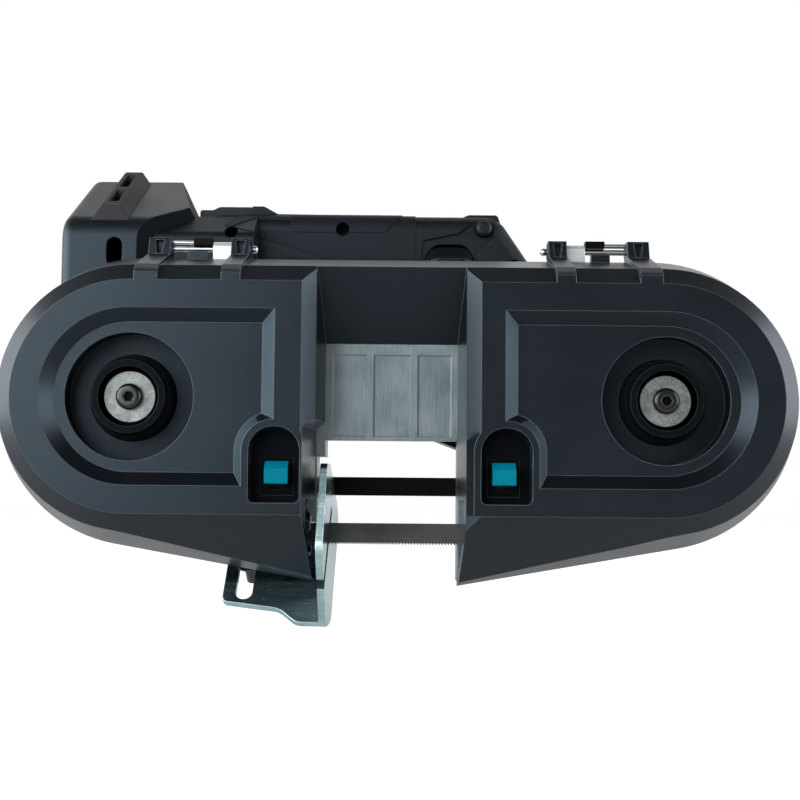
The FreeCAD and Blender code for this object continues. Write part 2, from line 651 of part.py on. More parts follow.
def span(start, width, sign):
    """Low and high X of a piece that runs outwards from a station."""
    return min(start, start + sign * width), max(start, start + sign * width)


def notch_outline():
    """Side outline of the blade's notch, behind the sloping wall under the flat face."""
    low, high, back = blade_z - s.notch_half, blade_z + s.notch_half, s.cover_depth + past
    line = axis_z - s.face_radius + math.sqrt(2) * s.cover_wall
    return [(s.notch_depth, high, 0), (s.notch_depth, line - s.notch_depth, 0), (line - low, low, 0),
            (back, low, 0), (back, high, 0)]


def hinge_arm(start, width, sign):
    """Arm from the cover's flat face, over its top, to an end block round the hinge pin."""
    low, high = span(start, width, sign)
    face_top = axis_z + s.face_radius
    block_y = hinge_y - s.arm_block
    block_z = axis_z + flare_radius(block_y) + s.arm_thickness
    crest = hinge_z + s.knuckle_radius
    lap = 0.6
    corners = [
        (0.0, face_top - 2 * lap, 0),
        (0.0, face_top + s.arm_foot, 0),
        (s.arm_slope, face_top + s.arm_foot + s.arm_slope, 0),
        (block_y, block_z, 0),
        (block_y + s.arm_thickness, crest, 1.0),
        (hinge_y, crest, 0),
        (hinge_y, hinge_z, 0),
        (s.cover_depth, axis_z + s.flare_back - lap, 0),
        (brow_y + lap, brow_z - lap, 0),
    ]
    arm = prism(corners, at_x(low), Vector(high - low, 0, 0))
    knuckle = rod(s.knuckle_radius, Vector(low, hinge_y, hinge_z), Vector(high, hinge_y, hinge_z))
    middle, top, foot = (low + high) / 2, s.dimple_width / 2, s.dimple_foot / 2
    dimple = [(middle - top, crest - 2 * lap, 0), (middle + top, crest - 2 * lap, 0),
              (middle + foot, block_z + lap, 0), (middle - foot, block_z + lap, 0)]
    depth = s.arm_block - 2 * s.pin_radius
    return arm.fuse(knuckle).cut(prism(dimple, at_y(block_y), Vector(0, depth, 0)))


def build_blade_cover():
    """One moulded shell: two lobes, the bridge over the throat and four hinge arms."""
    shell = cover_form(0.0).cut(cover_form(s.cover_wall))
    backing, rims, sinks, rings, holes, arms, bores = [], [], [], [], [], [], []
    flat_only = block((-s.axis_span, 0, axis_z - s.face_radius), (s.axis_span, s.cover_depth, hinge_z))
    for side, sign in SIDES.items():
        centre = (sign * half_span, axis_z)
        floor = s.bowl_depth + s.cover_wall
        backing += lobe_backing(side)
        rims.append(pocket_rim_form(side).common(flat_only).cut(throat_form(0.0)))
        sinks += lobe_sinks(side)
        rings.append(cone(s.ring_radius, s.ring_base_radius, centre, s.ring_front, s.bowl_depth + 1.0))
        rate = (s.ring_hole_back - s.ring_hole_radius) / (floor - s.ring_front)
        holes.append(cone(
            s.ring_hole_radius - rate, s.ring_hole_back + rate, centre, s.ring_front - 1.0, floor + 1.0))
        inner, outer = sorted((throat_edge[side] - sign * past,
                               throat_edge[side] + sign * (2 * s.cover_wall + s.recess_front)))
        holes.append(prism(notch_outline(), at_x(inner), Vector(outer - inner, 0, 0)))
        stops = hinge_stations(sign)
        arms.append(hinge_arm(stops["inner_knuckle"], s.inner_knuckle_width, sign))
        arms.append(hinge_arm(stops["outer_knuckle"], s.outer_knuckle_width, sign))
        low, high = span(sign * (half_span - s.tab_inset), s.tab_width, sign)
        rim_z = axis_z + s.flare_back
        arms.append(block((low, s.cover_depth - 3.0, rim_z - 1.4),
                          (high, s.cover_depth + 1.0, rim_z + s.tab_height)))
        reach = Vector(sign * (abs(stops["end"]) + 1.0), hinge_y, hinge_z)
        bores.append(rod(s.pin_radius + s.running_gap, Vector(0, hinge_y, hinge_z), reach))
        rod_start = Vector(stops["outer_knuckle"], hinge_y, hinge_z + s.rod_rise)
        rod_end = rod_start + Vector(sign * s.rod_seat, 0, 0)
        bores.append(rod(s.rod_radius, rod_start, rod_end))
    clip = cover_form(0.0)
    body = shell.fuse(union(backing).common(clip).fuse(union(rims))).cut(union(sinks)).fuse(union(rings))
    body = body.cut(union(holes)).fuse(union(arms)).cut(union(bores))
    return feature("blade_cover", body.removeSplitter())


def build_latches():
    """Sliding latch buttons with a stem through the pocket floor and a retaining flange."""
    floor_back = s.pocket_depth + s.cover_wall
    for side in SIDES:
        middle = latch_x[side]
        half = s.latch_width / 2
        fold = latch_top_z - 0.36 * s.latch_height
        corners = [
            (s.latch_front, latch_low_z, 0.8),
            (s.latch_front, fold, 1.2),
            (s.pocket_depth - 0.3 * s.pocket_depth, latch_top_z, 0.8),
            (s.pocket_depth - s.part_gap, latch_top_z, 0),
            (s.pocket_depth - s.part_gap, latch_low_z, 0),
        ]
        button = prism(corners, at_x(middle - half), Vector(s.latch_width, 0, 0))
        stem_z = latch_top_z - s.latch_height / 2
        stem_half = s.latch_stem / 2
        tail = s.cover_depth - past
        stem = block((middle - stem_half, s.pocket_depth - 1.0, stem_z - stem_half),
                     (middle + stem_half, tail, stem_z + stem_half))
        flange = block((middle - half, floor_back + s.part_gap, stem_z - half),
                       (middle + half, floor_back + s.part_gap + 2.0, stem_z + half))
        hook = block((middle - stem_half, tail - 4.0, stem_z),
                     (middle + stem_half, tail, stem_z + 2.2 * stem_half))
        feature(f"cover_latch_{side}", union([button, stem, flange, hook]).removeSplitter())


PIN_LENGTH = ("Sizes.pin_overhang + Sizes.inner_knuckle_width + Sizes.lug_width + Sizes.block_width"
              " + Sizes.rod_span + Sizes.outer_knuckle_width + 2 * Sizes.part_gap + Sizes.pin_tail")
ROD_LENGTH = "Sizes.block_width - Sizes.part_gap + Sizes.rod_span + Sizes.rod_seat"
BLOCK_HEIGHT = "Sizes.rod_rise + Sizes.block_height / 2 - Sizes.pin_radius - Sizes.part_gap"


def build_hinges():
    """Hinge pins in the frame's lugs, and the cover's upper rods with their blocks."""
    pins, rods, sleeves = [], [], []
    for side, sign in SIDES.items():
        stops = hinge_stations(sign)
        start = Vector(stops["inner_knuckle"] - sign * s.pin_overhang, hinge_y, hinge_z)
        head = doc.addObject("Part::Sphere", f"hinge_head_{side}")
        head.setExpression("Radius", "Sizes.pin_head_radius")
        head.Placement = Placement(start, OUTWARDS[sign])
        shank = cylinder(f"hinge_shank_{side}", "Sizes.pin_radius", PIN_LENGTH, start, OUTWARDS[sign])
        pins.append(fuse(f"hinge_pin_{side}", head, shank))
        rod_start = Vector(stops["block"] + sign * s.part_gap, hinge_y, hinge_z + s.rod_rise)
        rods.append(cylinder(f"hinge_rod_{side}", "Sizes.rod_radius", ROD_LENGTH, rod_start,
                             OUTWARDS[sign]))
        low, high = span(stops["block"], s.block_width, sign)
        foot = Vector(low, hinge_y - s.block_depth / 2, hinge_z + s.pin_radius + s.part_gap)
        sleeve = box(f"rod_sleeve_{side}", "Sizes.block_width", "Sizes.block_depth", BLOCK_HEIGHT, foot)
        bore = cylinder(f"rod_bore_{side}", "Sizes.rod_radius", ROD_LENGTH, rod_start, OUTWARDS[sign])
        sleeves.append(cut(f"rod_block_{side}", sleeve, bore))
    node(fuse("hinge_pin_pair", *pins), "hinge_pins")
    node(fuse("hinge_rod_pair", *rods), "hinge_rods")
    node(fuse("rod_block_pair", *sleeves), "rod_blocks")


# Cast frame
frame_radius = s.flare_back - s.frame_inset
web_low_z = axis_z - s.web_bottom
frame_left = -s.throat_left + s.throat_draft + 0.3
frame_right = s.throat_right - s.throat_draft + 0.3
stopper_left = -s.throat_left + s.stopper_gap
flange_point = Vector(0, s.cover_depth + s.flange_setback, s.flange_level)
flange_left = stopper_left - s.flange_length
carriage_x = -half_span - s.carriage_length / 2
lever_point = Vector(-half_span - s.lever_x, 0, axis_z - s.lever_drop)


def frame_throat(widen):
    """The frame's share of the throat, open below, with room for the stopper on the left."""
    low, front, back = -past, frame_front - past, frame_back + past
    roof = roof_back_z + widen
    step = s.stopper_height + 4.0
    recess = -s.throat_left - 0.4
    corners = [
        (recess - widen, low, 0), (frame_right + widen, low, 0), (frame_right + widen, roof, 0),
        (frame_left - widen, roof, 0), (frame_left - widen, step + widen, 0), (recess - widen, step, 0),
    ]
    return prism(corners, at_y(front), Vector(0, back - front, 0))


def build_main_frame():
    """Casting behind the cover: plate, walls, throat web with ribs, bearing boss, rails and lugs."""
    depth = Vector(0, s.frame_depth, 0)
    tray = Part.Face(flared_wire(frame_radius, frame_front)).extrude(depth)
    hollow = Part.Face(flared_wire(frame_radius - s.frame_wall, plate_back)).extrude(depth)
    hollow = hollow.cut(frame_throat(s.frame_wall))
    web = block((frame_left - 1.0, frame_front, web_low_z),
                (frame_right + 1.0, plate_back + 0.5, roof_back_z + 1.0))
    rim = s.web_rim
    sunk = block((frame_left + rim, frame_front - past, web_low_z + rim * 0.6),
                 (frame_right - rim, frame_front + s.web_recess, roof_back_z - rim * 1.5))
    third = (frame_right - frame_left) / 3
    ribs = []
    for step in (1, 2):
        rib_x = frame_left + step * third - s.web_rib_width / 2
        ribs.append(block((rib_x, frame_front, web_low_z + rim * 0.6),
                          (rib_x + s.web_rib_width, frame_front + 2 * s.web_recess,
                           roof_back_z - rim * 1.5)))
    boss = rod(s.boss_radius, depth_point(right_axis, plate_back - 1.0),
               depth_point(right_axis, frame_back))
    rails = []
    rail_back = plate_back + s.carriage_depth
    rail_half = s.carriage_height / 2 + s.part_gap
    rail_ends = (carriage_x - s.carriage_travel, carriage_x + s.carriage_length + 4 * s.carriage_travel)
    for low in (axis_z + rail_half, axis_z - rail_half - s.rail_height):
        rails.append(block((rail_ends[0], plate_back - 1.0, low),
                           (rail_ends[1], rail_back, low + s.rail_height)))
    post_x = carriage_x + s.carriage_length + s.spring_length + s.carriage_travel + s.part_gap
    rails.append(block((post_x, plate_back - 1.0, axis_z - rail_half - s.rail_height),
                       (post_x + s.frame_wall, rail_back, axis_z + rail_half + s.rail_height)))
    seat = block((flange_left - 4.0, frame_front, 0.0), (-s.throat_left, frame_back, s.flange_level + 34.0))
    seat = seat.common(Part.Face(flared_wire(frame_radius, frame_front)).extrude(depth))
    lugs = []
    for side, sign in SIDES.items():
        low, high = span(hinge_stations(sign)["lug"], s.lug_width, sign)
        foot = axis_z + frame_radius - s.frame_wall
        radius = hinge_y - frame_front
        stem = block((low, frame_front, foot), (high, hinge_y + radius, hinge_z))
        barrel = rod(radius, Vector(low, hinge_y, hinge_z), Vector(high, hinge_y, hinge_z))
        lugs.append(stem.fuse(barrel))
    body = tray.cut(hollow).cut(frame_throat(0.0)).fuse(union([web.cut(sunk)] + ribs))
    body = body.fuse(union([boss, seat] + rails + lugs))
    gate = frame_throat(0.0).common(block((-half_span, 0, -past), (half_span, 2 * frame_back, web_low_z)))
    slot_half = s.shaft_radius + 0.4
    axle_slot = block((-half_span - slot_half, 0, axis_z - slot_half),
                      (-half_span + slot_half + s.carriage_travel, frame_back, axis_z + slot_half))
    bore = rod(s.bearing_radius + s.press_gap, depth_point(right_axis, frame_front + 2.0),
               depth_point(right_axis, frame_back + 1.0))
    shaft_hole = rod(s.shaft_radius + 1.0, right_axis, depth_point(right_axis, frame_back))
    pins = [rod(s.pin_radius + s.press_gap, Vector(hinge_stations(sign)["inner_knuckle"], hinge_y, hinge_z),
                Vector(hinge_stations(sign)["end"], hinge_y, hinge_z)) for sign in SIDES.values()]
    face = s.stopper_thickness / 2 + s.seat_gap
    reach = 90.0
    wedge = block((flange_left - 2.0, -reach, -reach), (frame_left + 1.0, face, 30.0))
    wedge.rotate(Vector(), Vector(1, 0, 0), -s.blade_tilt)
    wedge.translate(flange_point)
    low_only = block((-half_span, 0, -past), (0, frame_back + past, s.flange_level + 26.0))
    screw_hole = stopper_turn(stopper_screw_line(s.running_gap))
    cuts = [gate, axle_slot, bore, shaft_hole, stopper_turn(wedge).common(low_only),
            screw_hole] + pins + roller_rooms()
    screw_lines = guard_screw_lines(0.0) + back_screw_lines()
    cuts += [rod(s.small_screw_radius + s.running_gap, start, end) for start, end in screw_lines]
    return feature("main_frame", body.cut(union(cuts)).removeSplitter())


def stopper_turn(shape):
    """A shape turned with the stopper about its upright front edge."""
    return shape.rotated(Vector(stopper_left, s.stopper_front, 0), Vector(0, 0, 1), -s.stopper_yaw)


def stopper_screw_line(play):
    """Hole or shank of the stopper's screw, square to the flange."""
    seat = flange_point + feed_up * s.stopper_screw_level + Vector(flange_left + 10.5, 0, 0)
    start = seat - work_way * (s.stopper_thickness / 2)
    return rod(s.screw_radius + play, start, start + work_way * s.screw_length)


def guard_screw_lines(back):
    """Axes of the guard bar's two screws, from their heads into the frame's cheeks."""
    level = axis_z - s.bar_drop
    places = (-s.throat_left - 2.4 - s.frame_wall / 2, frame_right + s.frame_wall / 2)
    return [(Vector(x, frame_back + back, level), Vector(x, frame_back - 9.0, level)) for x in places]


def back_screw_lines():
    """Axes of the back cover's screws in the frame's wall."""
    ring = frame_radius - s.frame_wall / 2
    angles = [math.radians(angle) for angle in (115.0, 180.0, 235.0)]
    top = frame_back + s.back_cover_thickness
    lines = []
    for angle in angles:
        x, z = -half_span + ring * math.cos(angle), axis_z + ring * math.sin(angle)
        lines.append((Vector(x, top, z), Vector(x, frame_back - 8.0, z)))
    return lines


def screw_group(label, lines, recess):
    """Small round headed screws along given axes, each a solid of its own."""
    solids = []
    for start, end in lines:
        way = (end - start).normalize()
        shank = rod(s.small_screw_radius, start, end)
        head = rod(s.small_head_radius, start - way * s.small_head_height, start)
        socket = rod(s.small_head_radius * 0.45, start - way * s.small_head_height, start - way * recess)
        solids.append(shank.fuse(head).cut(socket).removeSplitter())
    return feature(label, Part.Compound(solids))


BAR_LENGTH = "Sizes.axis_span - Sizes.idler_reach - Sizes.drive_reach + 2 * Sizes.bar_lap"
bar_left = (frame_right - s.throat_left) / 2 - (s.throat_left + s.throat_right) / 2 - s.bar_lap


def build_frame_fittings():
    """Rear guard bar, the idler side's back cover, and their screws."""
    level = axis_z - s.bar_drop
    bar = doc.addObject("PartDesign::Body", "guard_bar_body")
    sketch = bar.newObject("Sketcher::SketchObject", "guard_bar_outline")
    plane = [item for item in bar.Origin.OriginFeatures if item.Role == "XY_Plane"][0]
    sketch.AttachmentSupport = [(plane, "")]
    sketch.MapMode = "FlatFace"
    rectangle(sketch, BAR_LENGTH, "Sizes.bar_thickness")
    pad = bar.newObject("PartDesign::Pad", "guard_bar_pad")
    pad.Profile = sketch
    pad.setExpression("Length", "Sizes.bar_height")
    bar.Placement.Base = Vector(bar_left, frame_back + s.seat_gap, level - s.bar_height / 2)
    bar_back = s.seat_gap + s.bar_thickness
    holes = []
    for index, (start, end) in enumerate(guard_screw_lines(bar_back)):
        holes.append(cylinder(f"guard_hole_{index}", "Sizes.small_screw_radius + Sizes.seat_gap",
                              "Sizes.bar_thickness * 3", end + Vector(0, 3.0, 0)))
    node(cut("guard_bar_cut", bar, *holes), "rear_guard_bar")
    screw_group("guard_bar_screws", guard_screw_lines(bar_back + s.seat_gap), 1.0)
    lid_front = frame_back + s.seat_gap
    outline = lobe_wire("left", frame_radius - 0.5, -s.throat_left - s.frame_wall - 1.0, lid_front)
    lid = Part.Face(outline).extrude(Vector(0, s.back_cover_thickness - s.seat_gap, 0))
    flared = Part.Face(flared_wire(frame_radius - 0.5, 0)).extrude(Vector(0, 2 * frame_back, 0))
    lever_hole = rod(s.lever_shaft_radius + s.running_gap, lever_point,
                     depth_point(lever_point, 2 * frame_back))
    bar_room = block((bar_left - s.part_gap, 0, level - s.bar_height / 2 - s.part_gap),
                     (0, 2 * frame_back, level + s.bar_height / 2 + s.part_gap))
    holes = [rod(s.small_screw_radius + s.seat_gap, start, end) for start, end in back_screw_lines()]
    feature("idler_back_cover", lid.common(flared).cut(union([lever_hole, bar_room] + holes)))
    screw_group("back_cover_screws", back_screw_lines(), 1.0)


def rectangle(sketch, length, height):
    """Rectangle from the sketch's origin, its two sides bound to the sheet."""
    corners = [Vector(0, 0, 0), Vector(10, 0, 0), Vector(10, 5, 0), Vector(0, 5, 0)]
    for index in range(4):
        sketch.addGeometry(Part.LineSegment(corners[index], corners[(index + 1) % 4]))
    for index in range(4):
        sketch.addConstraint(Sketcher.Constraint("Coincident", index, 2, (index + 1) % 4, 1))
    for index, way in enumerate(("Horizontal", "Vertical", "Horizontal", "Vertical")):
        sketch.addConstraint(Sketcher.Constraint(way, index))
    sketch.addConstraint(Sketcher.Constraint("Coincident", 0, 1, -1, 1))
    for line, way, bound in ((0, "DistanceX", length), (1, "DistanceY", height)):
        number = sketch.addConstraint(Sketcher.Constraint(way, line, 1, line, 2, 5.0))
        sketch.setExpression(f"Constraints[{number}]", bound)


# Wheels
WHEEL_WIDTH = "Sizes.blade_width"


def build_wheel(side, hub, bore, hub_front_expression, hub_front):
    """Cast wheel: hub, web with six round openings, and rim."""
    sign = SIDES[side]
    name = "idler_wheel" if side == "left" else "drive_wheel"
    centre = Vector(sign * half_span, 0, axis_z)
    rim_front = depth_point(centre, s.wheel_front)
    rim_radius = "(Sizes.tire_radius - Sizes.tire_thickness)"
    hub_back = "(Sizes.cover_depth - 1.4)"
    rim = tube(name + "_rim", rim_radius, rim_radius + " - Sizes.rim_thickness", WHEEL_WIDTH, rim_front)
    web_front = s.wheel_front + (s.blade_width - s.web_thickness) / 2
    web = cylinder(name + "_web", rim_radius + " - Sizes.rim_thickness / 2", "Sizes.web_thickness",
                   depth_point(centre, web_front))
    nave = cylinder(name + "_hub", hub, f"{hub_back} - {hub_front_expression}",
                    depth_point(centre, hub_front))
    hole = cylinder(name + "_bore", bore, hub_back, depth_point(centre, hub_front - 1.0))
    openings = [hole]
    for index in range(6):
        angle = math.radians(60 * index + 30)
        place = Vector(centre.x + s.web_hole_circle * math.cos(angle), web_front - 1.0,
                       axis_z + s.web_hole_circle * math.sin(angle))
        openings.append(cylinder(f"{name}_opening_{index}", "Sizes.web_hole_radius",
                                 "Sizes.web_thickness + 2", place))
    node(cut(name + "_cut", fuse(name + "_solid", rim, web, nave), *openings), name)
    tire = name.replace("wheel", "tire")
    node(tube(tire, "Sizes.tire_radius", rim_radius, WHEEL_WIDTH, rim_front), tire)


def build_wheel_end(side):
    """Washer and button head screw in the middle of one wheel."""
    name = "idler" if side == "left" else "drive"
    centre = Vector(SIDES[side] * half_span, 0, axis_z)
    washer_front = s.hub_front - s.seat_gap - s.washer_thickness
    node(tube(f"{name}_washer", "Sizes.washer_radius", "Sizes.screw_radius + Sizes.seat_gap",
              "Sizes.washer_thickness", depth_point(centre, washer_front)), f"{name}_washer")
    head_front = washer_front - s.screw_head_height
    head = cylinder(f"{name}_screw_head", "Sizes.screw_head_radius", "Sizes.screw_head_height",
                    depth_point(centre, head_front))
    shank = cylinder(f"{name}_screw_shank", "Sizes.screw_radius", "Sizes.screw_length + 1",
                     depth_point(centre, washer_front - 1.0))
    dome = doc.addObject("Part::Fillet", f"{name}_screw_dome")
    dome.Base = fuse(f"{name}_screw_solid", head, shank)
    doc.recompute()
    rims = [number for number, edge in enumerate(dome.Base.Shape.Edges, start=1)
            if edge.BoundBox.YLength < 1e-6 and abs(edge.BoundBox.YMin - head_front) < 1e-3]
    radius = 0.6 * s.screw_head_height
    dome.Edges = [(number, radius, radius) for number in rims]
    socket = cylinder(f"{name}_screw_socket", "Sizes.socket_radius", "Sizes.screw_head_height * 0.7",
                      depth_point(centre, head_front))
    node(cut(f"{name}_screw_cut", dome, socket), f"{name}_wheel_screw")


gear_plate_front = frame_back + s.seat_gap
gear_plate_back = gear_plate_front + s.gear_plate_thickness
gearcase_front = gear_plate_back + s.seat_gap
gearcase_back = gearcase_front + s.gearcase_depth
output_gear_front = gearcase_front + 1.5
lay_gear_front = output_gear_front + s.gear_width + 1.5


def build_wheels():
    """Both wheels with their tires, shafts, bearings, washers and screws."""
    build_wheel("right", "Sizes.hub_radius", "Sizes.shaft_radius + Sizes.running_gap", "Sizes.hub_front",
                s.hub_front)
    idler_front = s.bowl_depth + s.cover_wall + 1.4
    build_wheel("left", "Sizes.idler_hub_radius", "Sizes.bearing_radius + Sizes.press_gap",
                "(Sizes.bowl_depth + Sizes.cover_wall + 1.4)", idler_front)
    build_wheel_end("left")
    build_wheel_end("right")
    thread = "Sizes.screw_radius"
    shaft_length = gearcase_back - s.gearcase_wall - s.hub_front - s.part_gap
    shaft = cylinder("drive_shaft_bar", "Sizes.shaft_radius", f"{shaft_length}",
                     depth_point(right_axis, s.hub_front))
    node(cut("drive_shaft_cut", shaft, cylinder("drive_thread", thread, "Sizes.screw_length + 1",
                                                depth_point(right_axis, s.hub_front - 1.0))), "drive_shaft")
    axle_length = plate_back + s.carriage_depth - s.hub_front
    axle = cylinder("idler_axle_bar", "Sizes.shaft_radius", f"{axle_length}",
                    depth_point(left_axis, s.hub_front))
    node(cut("idler_axle_cut", axle, cylinder("idler_thread", thread, "Sizes.screw_length + 1",
                                              depth_point(left_axis, s.hub_front - 1.0))), "idler_axle")
    race = "Sizes.shaft_radius + Sizes.running_gap"
    idler_stop = idler_front + 0.6
    spots = [idler_stop, idler_stop + s.bearing_width + 1.0]
    rings = [tube(f"idler_bearing_{index}", "Sizes.bearing_radius", race, "Sizes.bearing_width",
                  depth_point(left_axis, spot)) for index, spot in enumerate(spots)]
    node(fuse("idler_bearing_pair", *rings), "idler_bearings")
    node(tube("idler_spacer_tube", "Sizes.shaft_radius + 2.6", "Sizes.shaft_radius + Sizes.running_gap",
              f"{idler_stop - s.hub_front - 0.15}", depth_point(left_axis,
                                                                s.hub_front + 0.05)), "idler_spacer")
    spots = [frame_front + 2.4, frame_back - s.bearing_width]
    rings = [tube(f"drive_bearing_{index}", "Sizes.bearing_radius", race, "Sizes.bearing_width",
                  depth_point(right_axis, spot)) for index, spot in enumerate(spots)]
    node(fuse("drive_bearing_pair", *rings), "drive_bearings")


# Saw band
def band_section(x, turn, level):
    """Cross section of the band at one place, its width turned up from level."""
    width_way = Vector(0, math.cos(turn), math.sin(turn)) * (s.blade_width / 2)
    thick_way = Vector(0, -math.sin(turn), math.cos(turn)) * (s.blade_thickness / 2)
    middle = Vector(x, blade_y, level)
    corners = [middle + width_way + thick_way, middle - width_way + thick_way,
               middle - width_way - thick_way, middle + width_way - thick_way]
    return Part.makePolygon(corners + corners[:1])


def build_saw_blade():
    """Endless band: two half turns, a top run, two twisted runs and the toothed run."""
    pieces = []
    steps = 6
    full_turn = math.pi / 2 - tilt
    for sign in SIDES.values():
        centre = Vector(sign * half_span, 0, axis_z)
        face = Part.Face(Part.makePolygon([
            Vector(centre.x, s.wheel_front, axis_z + wheel_run),
            Vector(centre.x, s.wheel_front + s.blade_width, axis_z + wheel_run),
            Vector(centre.x, s.wheel_front + s.blade_width, axis_z + wheel_run + s.blade_thickness),
            Vector(centre.x, s.wheel_front, axis_z + wheel_run + s.blade_thickness),
            Vector(centre.x, s.wheel_front, axis_z + wheel_run),
        ]))
        pieces.append(face.revolve(centre, Vector(0, 1, 0), 180 * sign))
        side = "right" if sign > 0 else "left"
        reach = guide_x[side] + sign * s.roller_radius
        sections = []
        for step in range(steps + 1):
            share = step / steps
            eased = share * share * (3 - 2 * share)
            x = centre.x + (reach - centre.x) * share
            sections.append(band_section(x, full_turn * eased, axis_z - band_radius - s.blade_drop * eased))
        pieces.append(Part.makeLoft(sections, True, False))
    pieces.append(block((-half_span, s.wheel_front, axis_z + wheel_run),
                        (half_span, s.wheel_front + s.blade_width, axis_z + wheel_run + s.blade_thickness)))
    start = guide_x["left"] - s.roller_radius
    end = guide_x["right"] + s.roller_radius
    count = int((end - start) / s.tooth_pitch)
    pitch = (end - start) / count
    edge = -s.blade_width / 2
    outline = [Vector(start, -edge, 0), Vector(start, edge, 0)]
    for index in range(count):
        tip = start + index * pitch
        outline.append(Vector(tip + 0.25 * pitch, edge, 0))
        outline.append(Vector(tip + 0.45 * pitch, edge + s.tooth_depth, 0))
        outline.append(Vector(tip + pitch, edge, 0))
    outline += [Vector(end, -edge, 0)]
    flat = Part.Face(Part.makePolygon(outline + outline[:1])).extrude(Vector(0, 0, s.blade_thickness))
    flat.translate(Vector(0, 0, -s.blade_thickness / 2))
    flat.rotate(Vector(), Vector(1, 0, 0), math.degrees(full_turn))
    flat.translate(Vector(0, blade_y, blade_z))
    pieces.append(flat)
    return feature("saw_blade", union(pieces).removeSplitter())


def roller_centre(side, way):
    """Middle of a guide roller in front of the band or behind it."""
    offset = s.roller_radius + s.blade_thickness / 2 + s.part_gap
    return Vector(guide_x[side], blade_y, blade_z) + work_way * (way * offset)


def roller_rooms():
    """Space in the frame for the rear guide rollers, and the holes that hold their pins."""
    rooms = []
    half_room = s.roller_width / 2 + 2.0
    for side in SIDES:
        centre = roller_centre(side, 1)
        low, high = centre - feed_up * (half_room + 6.0), centre + feed_up * half_room
        rooms.append(rod(s.roller_radius + 2 * s.part_gap, low, high))
        rooms.append(rod(s.roller_pin_radius + s.running_gap, centre, centre + feed_up * guide_pin_reach))
    return rooms


def build_guides():
    """Guide brackets on the frame, each with two rollers that hold the band's flat."""
    middle = Vector(0, blade_y, blade_z)
    bed = s.blade_width / 2 + s.thrust_gap
    pins = []
    for side, sign in SIDES.items():
        x = guide_x[side]
        plate = block((x - s.bracket_width / 2, -s.bracket_reach, bed),
                      (x + s.bracket_width / 2, s.bracket_reach, bed + s.bracket_thickness))
        plate.rotate(Vector(), Vector(1, 0, 0), -s.blade_tilt)
        plate.translate(middle)
        top = middle + feed_up * (bed + s.bracket_thickness)
        post = block((x - s.bracket_width / 2, top.y - 1.0, top.z - 3.0),
                     (x + s.bracket_width / 2, frame_front, top.z + s.bracket_reach))
        bracket = plate.fuse(post).common(block((-half_span, 0, 0), (half_span, frame_front, axis_z)))
        for place, way in (("front", -1), ("back", 1)):
            centre = roller_centre(side, way)
            low = centre - feed_up * (s.roller_width / 2)
            tip = centre + feed_up * guide_pin_reach
            name = f"guide_roller_{side}_{place}"
            node(tube(name + "_ring", "Sizes.roller_radius", "Sizes.roller_pin_radius + Sizes.running_gap",
                      "Sizes.roller_width", low, Rotation(Vector(0, 0, 1), feed_up)), name)
            foot = low - feed_up * 1.4
            head = rod(s.roller_pin_radius + 1.2, foot, low - feed_up * s.part_gap)
            pin = rod(s.roller_pin_radius, foot, tip)
            pins.append(pin.fuse(head).removeSplitter())
            bracket = bracket.cut(rod(s.roller_pin_radius + s.running_gap, low, tip))
        feature(f"guide_bracket_{side}", bracket.removeSplitter())
    feature("guide_pins", Part.Compound(pins))


def build_stopper():
    """Zinc plated work stop: a plate across the throat's left side with an inclined flange."""
    front, high = s.stopper_front, s.stopper_height
    back = front + s.stopper_depth
    corners = [
        (front + 17.5, high, 5.0), (front + 32.0, high, 9.0), (back, 53.0, 14.0),
        (front + 42.0, 1.0, 12.0), (front + 19.0, 0.0, 7.0), (front, 39.0, 9.0),
    ]
    plate = prism(corners, at_x(stopper_left), Vector(s.stopper_thickness, 0, 0))
    half = s.stopper_slot / 2
    slot = block((stopper_left - 1.0, -half, -60.0),
                 (stopper_left + s.stopper_thickness + 1.0, half,
                  s.blade_width / 2 + s.stopper_travel + 2.0))
    slot.rotate(Vector(), Vector(1, 0, 0), -s.blade_tilt)
    slot.translate(Vector(0, blade_y, blade_z))
    outline = [
        (flange_left, -20.5, 3.0), (flange_left + 29.0, -24.5, 10.0), (flange_left + 38.0, -32.5, 8.0),
        (stopper_left + 1.5, -32.5, 3.0), (stopper_left + 1.5, 20.0, 1.0), (flange_left, 20.0, 4.0),
    ]
    flange = prism(outline, at_y(-s.stopper_thickness / 2), Vector(0, s.stopper_thickness, 0))
    slot_x = flange_left + 10.5
    groove = block((slot_x - s.flange_slot / 2, -past, -15.0), (slot_x + s.flange_slot / 2, past, 14.0))
    ends = [rod(s.flange_slot / 2, Vector(slot_x, -past, level),
                Vector(slot_x, past, level)) for level in (-15.0, 14.0)]
    flange = flange.cut(union([groove] + ends))
    flange.rotate(Vector(), Vector(1, 0, 0), -s.blade_tilt)
    flange.translate(flange_point)
    feature("stopper_plate", stopper_turn(plate.cut(slot).fuse(flange).removeSplitter()))
    seat = flange_point + feed_up * s.stopper_screw_level + Vector(slot_x, 0, 0)
    start = seat - work_way * (s.stopper_thickness / 2 + s.seat_gap)
    washer = rod(s.flange_slot * 0.9, start - work_way * 1.4, start)
    head = rod(s.screw_head_radius * 0.8, start - work_way * (1.4 + s.screw_head_height),
               start - work_way * 1.4)
    shank = stopper_screw_line(0.0).fuse(rod(s.screw_radius, start, start + work_way * 2.0))
    feature("stopper_screw", stopper_turn(union([washer, head, shank]).removeSplitter()))


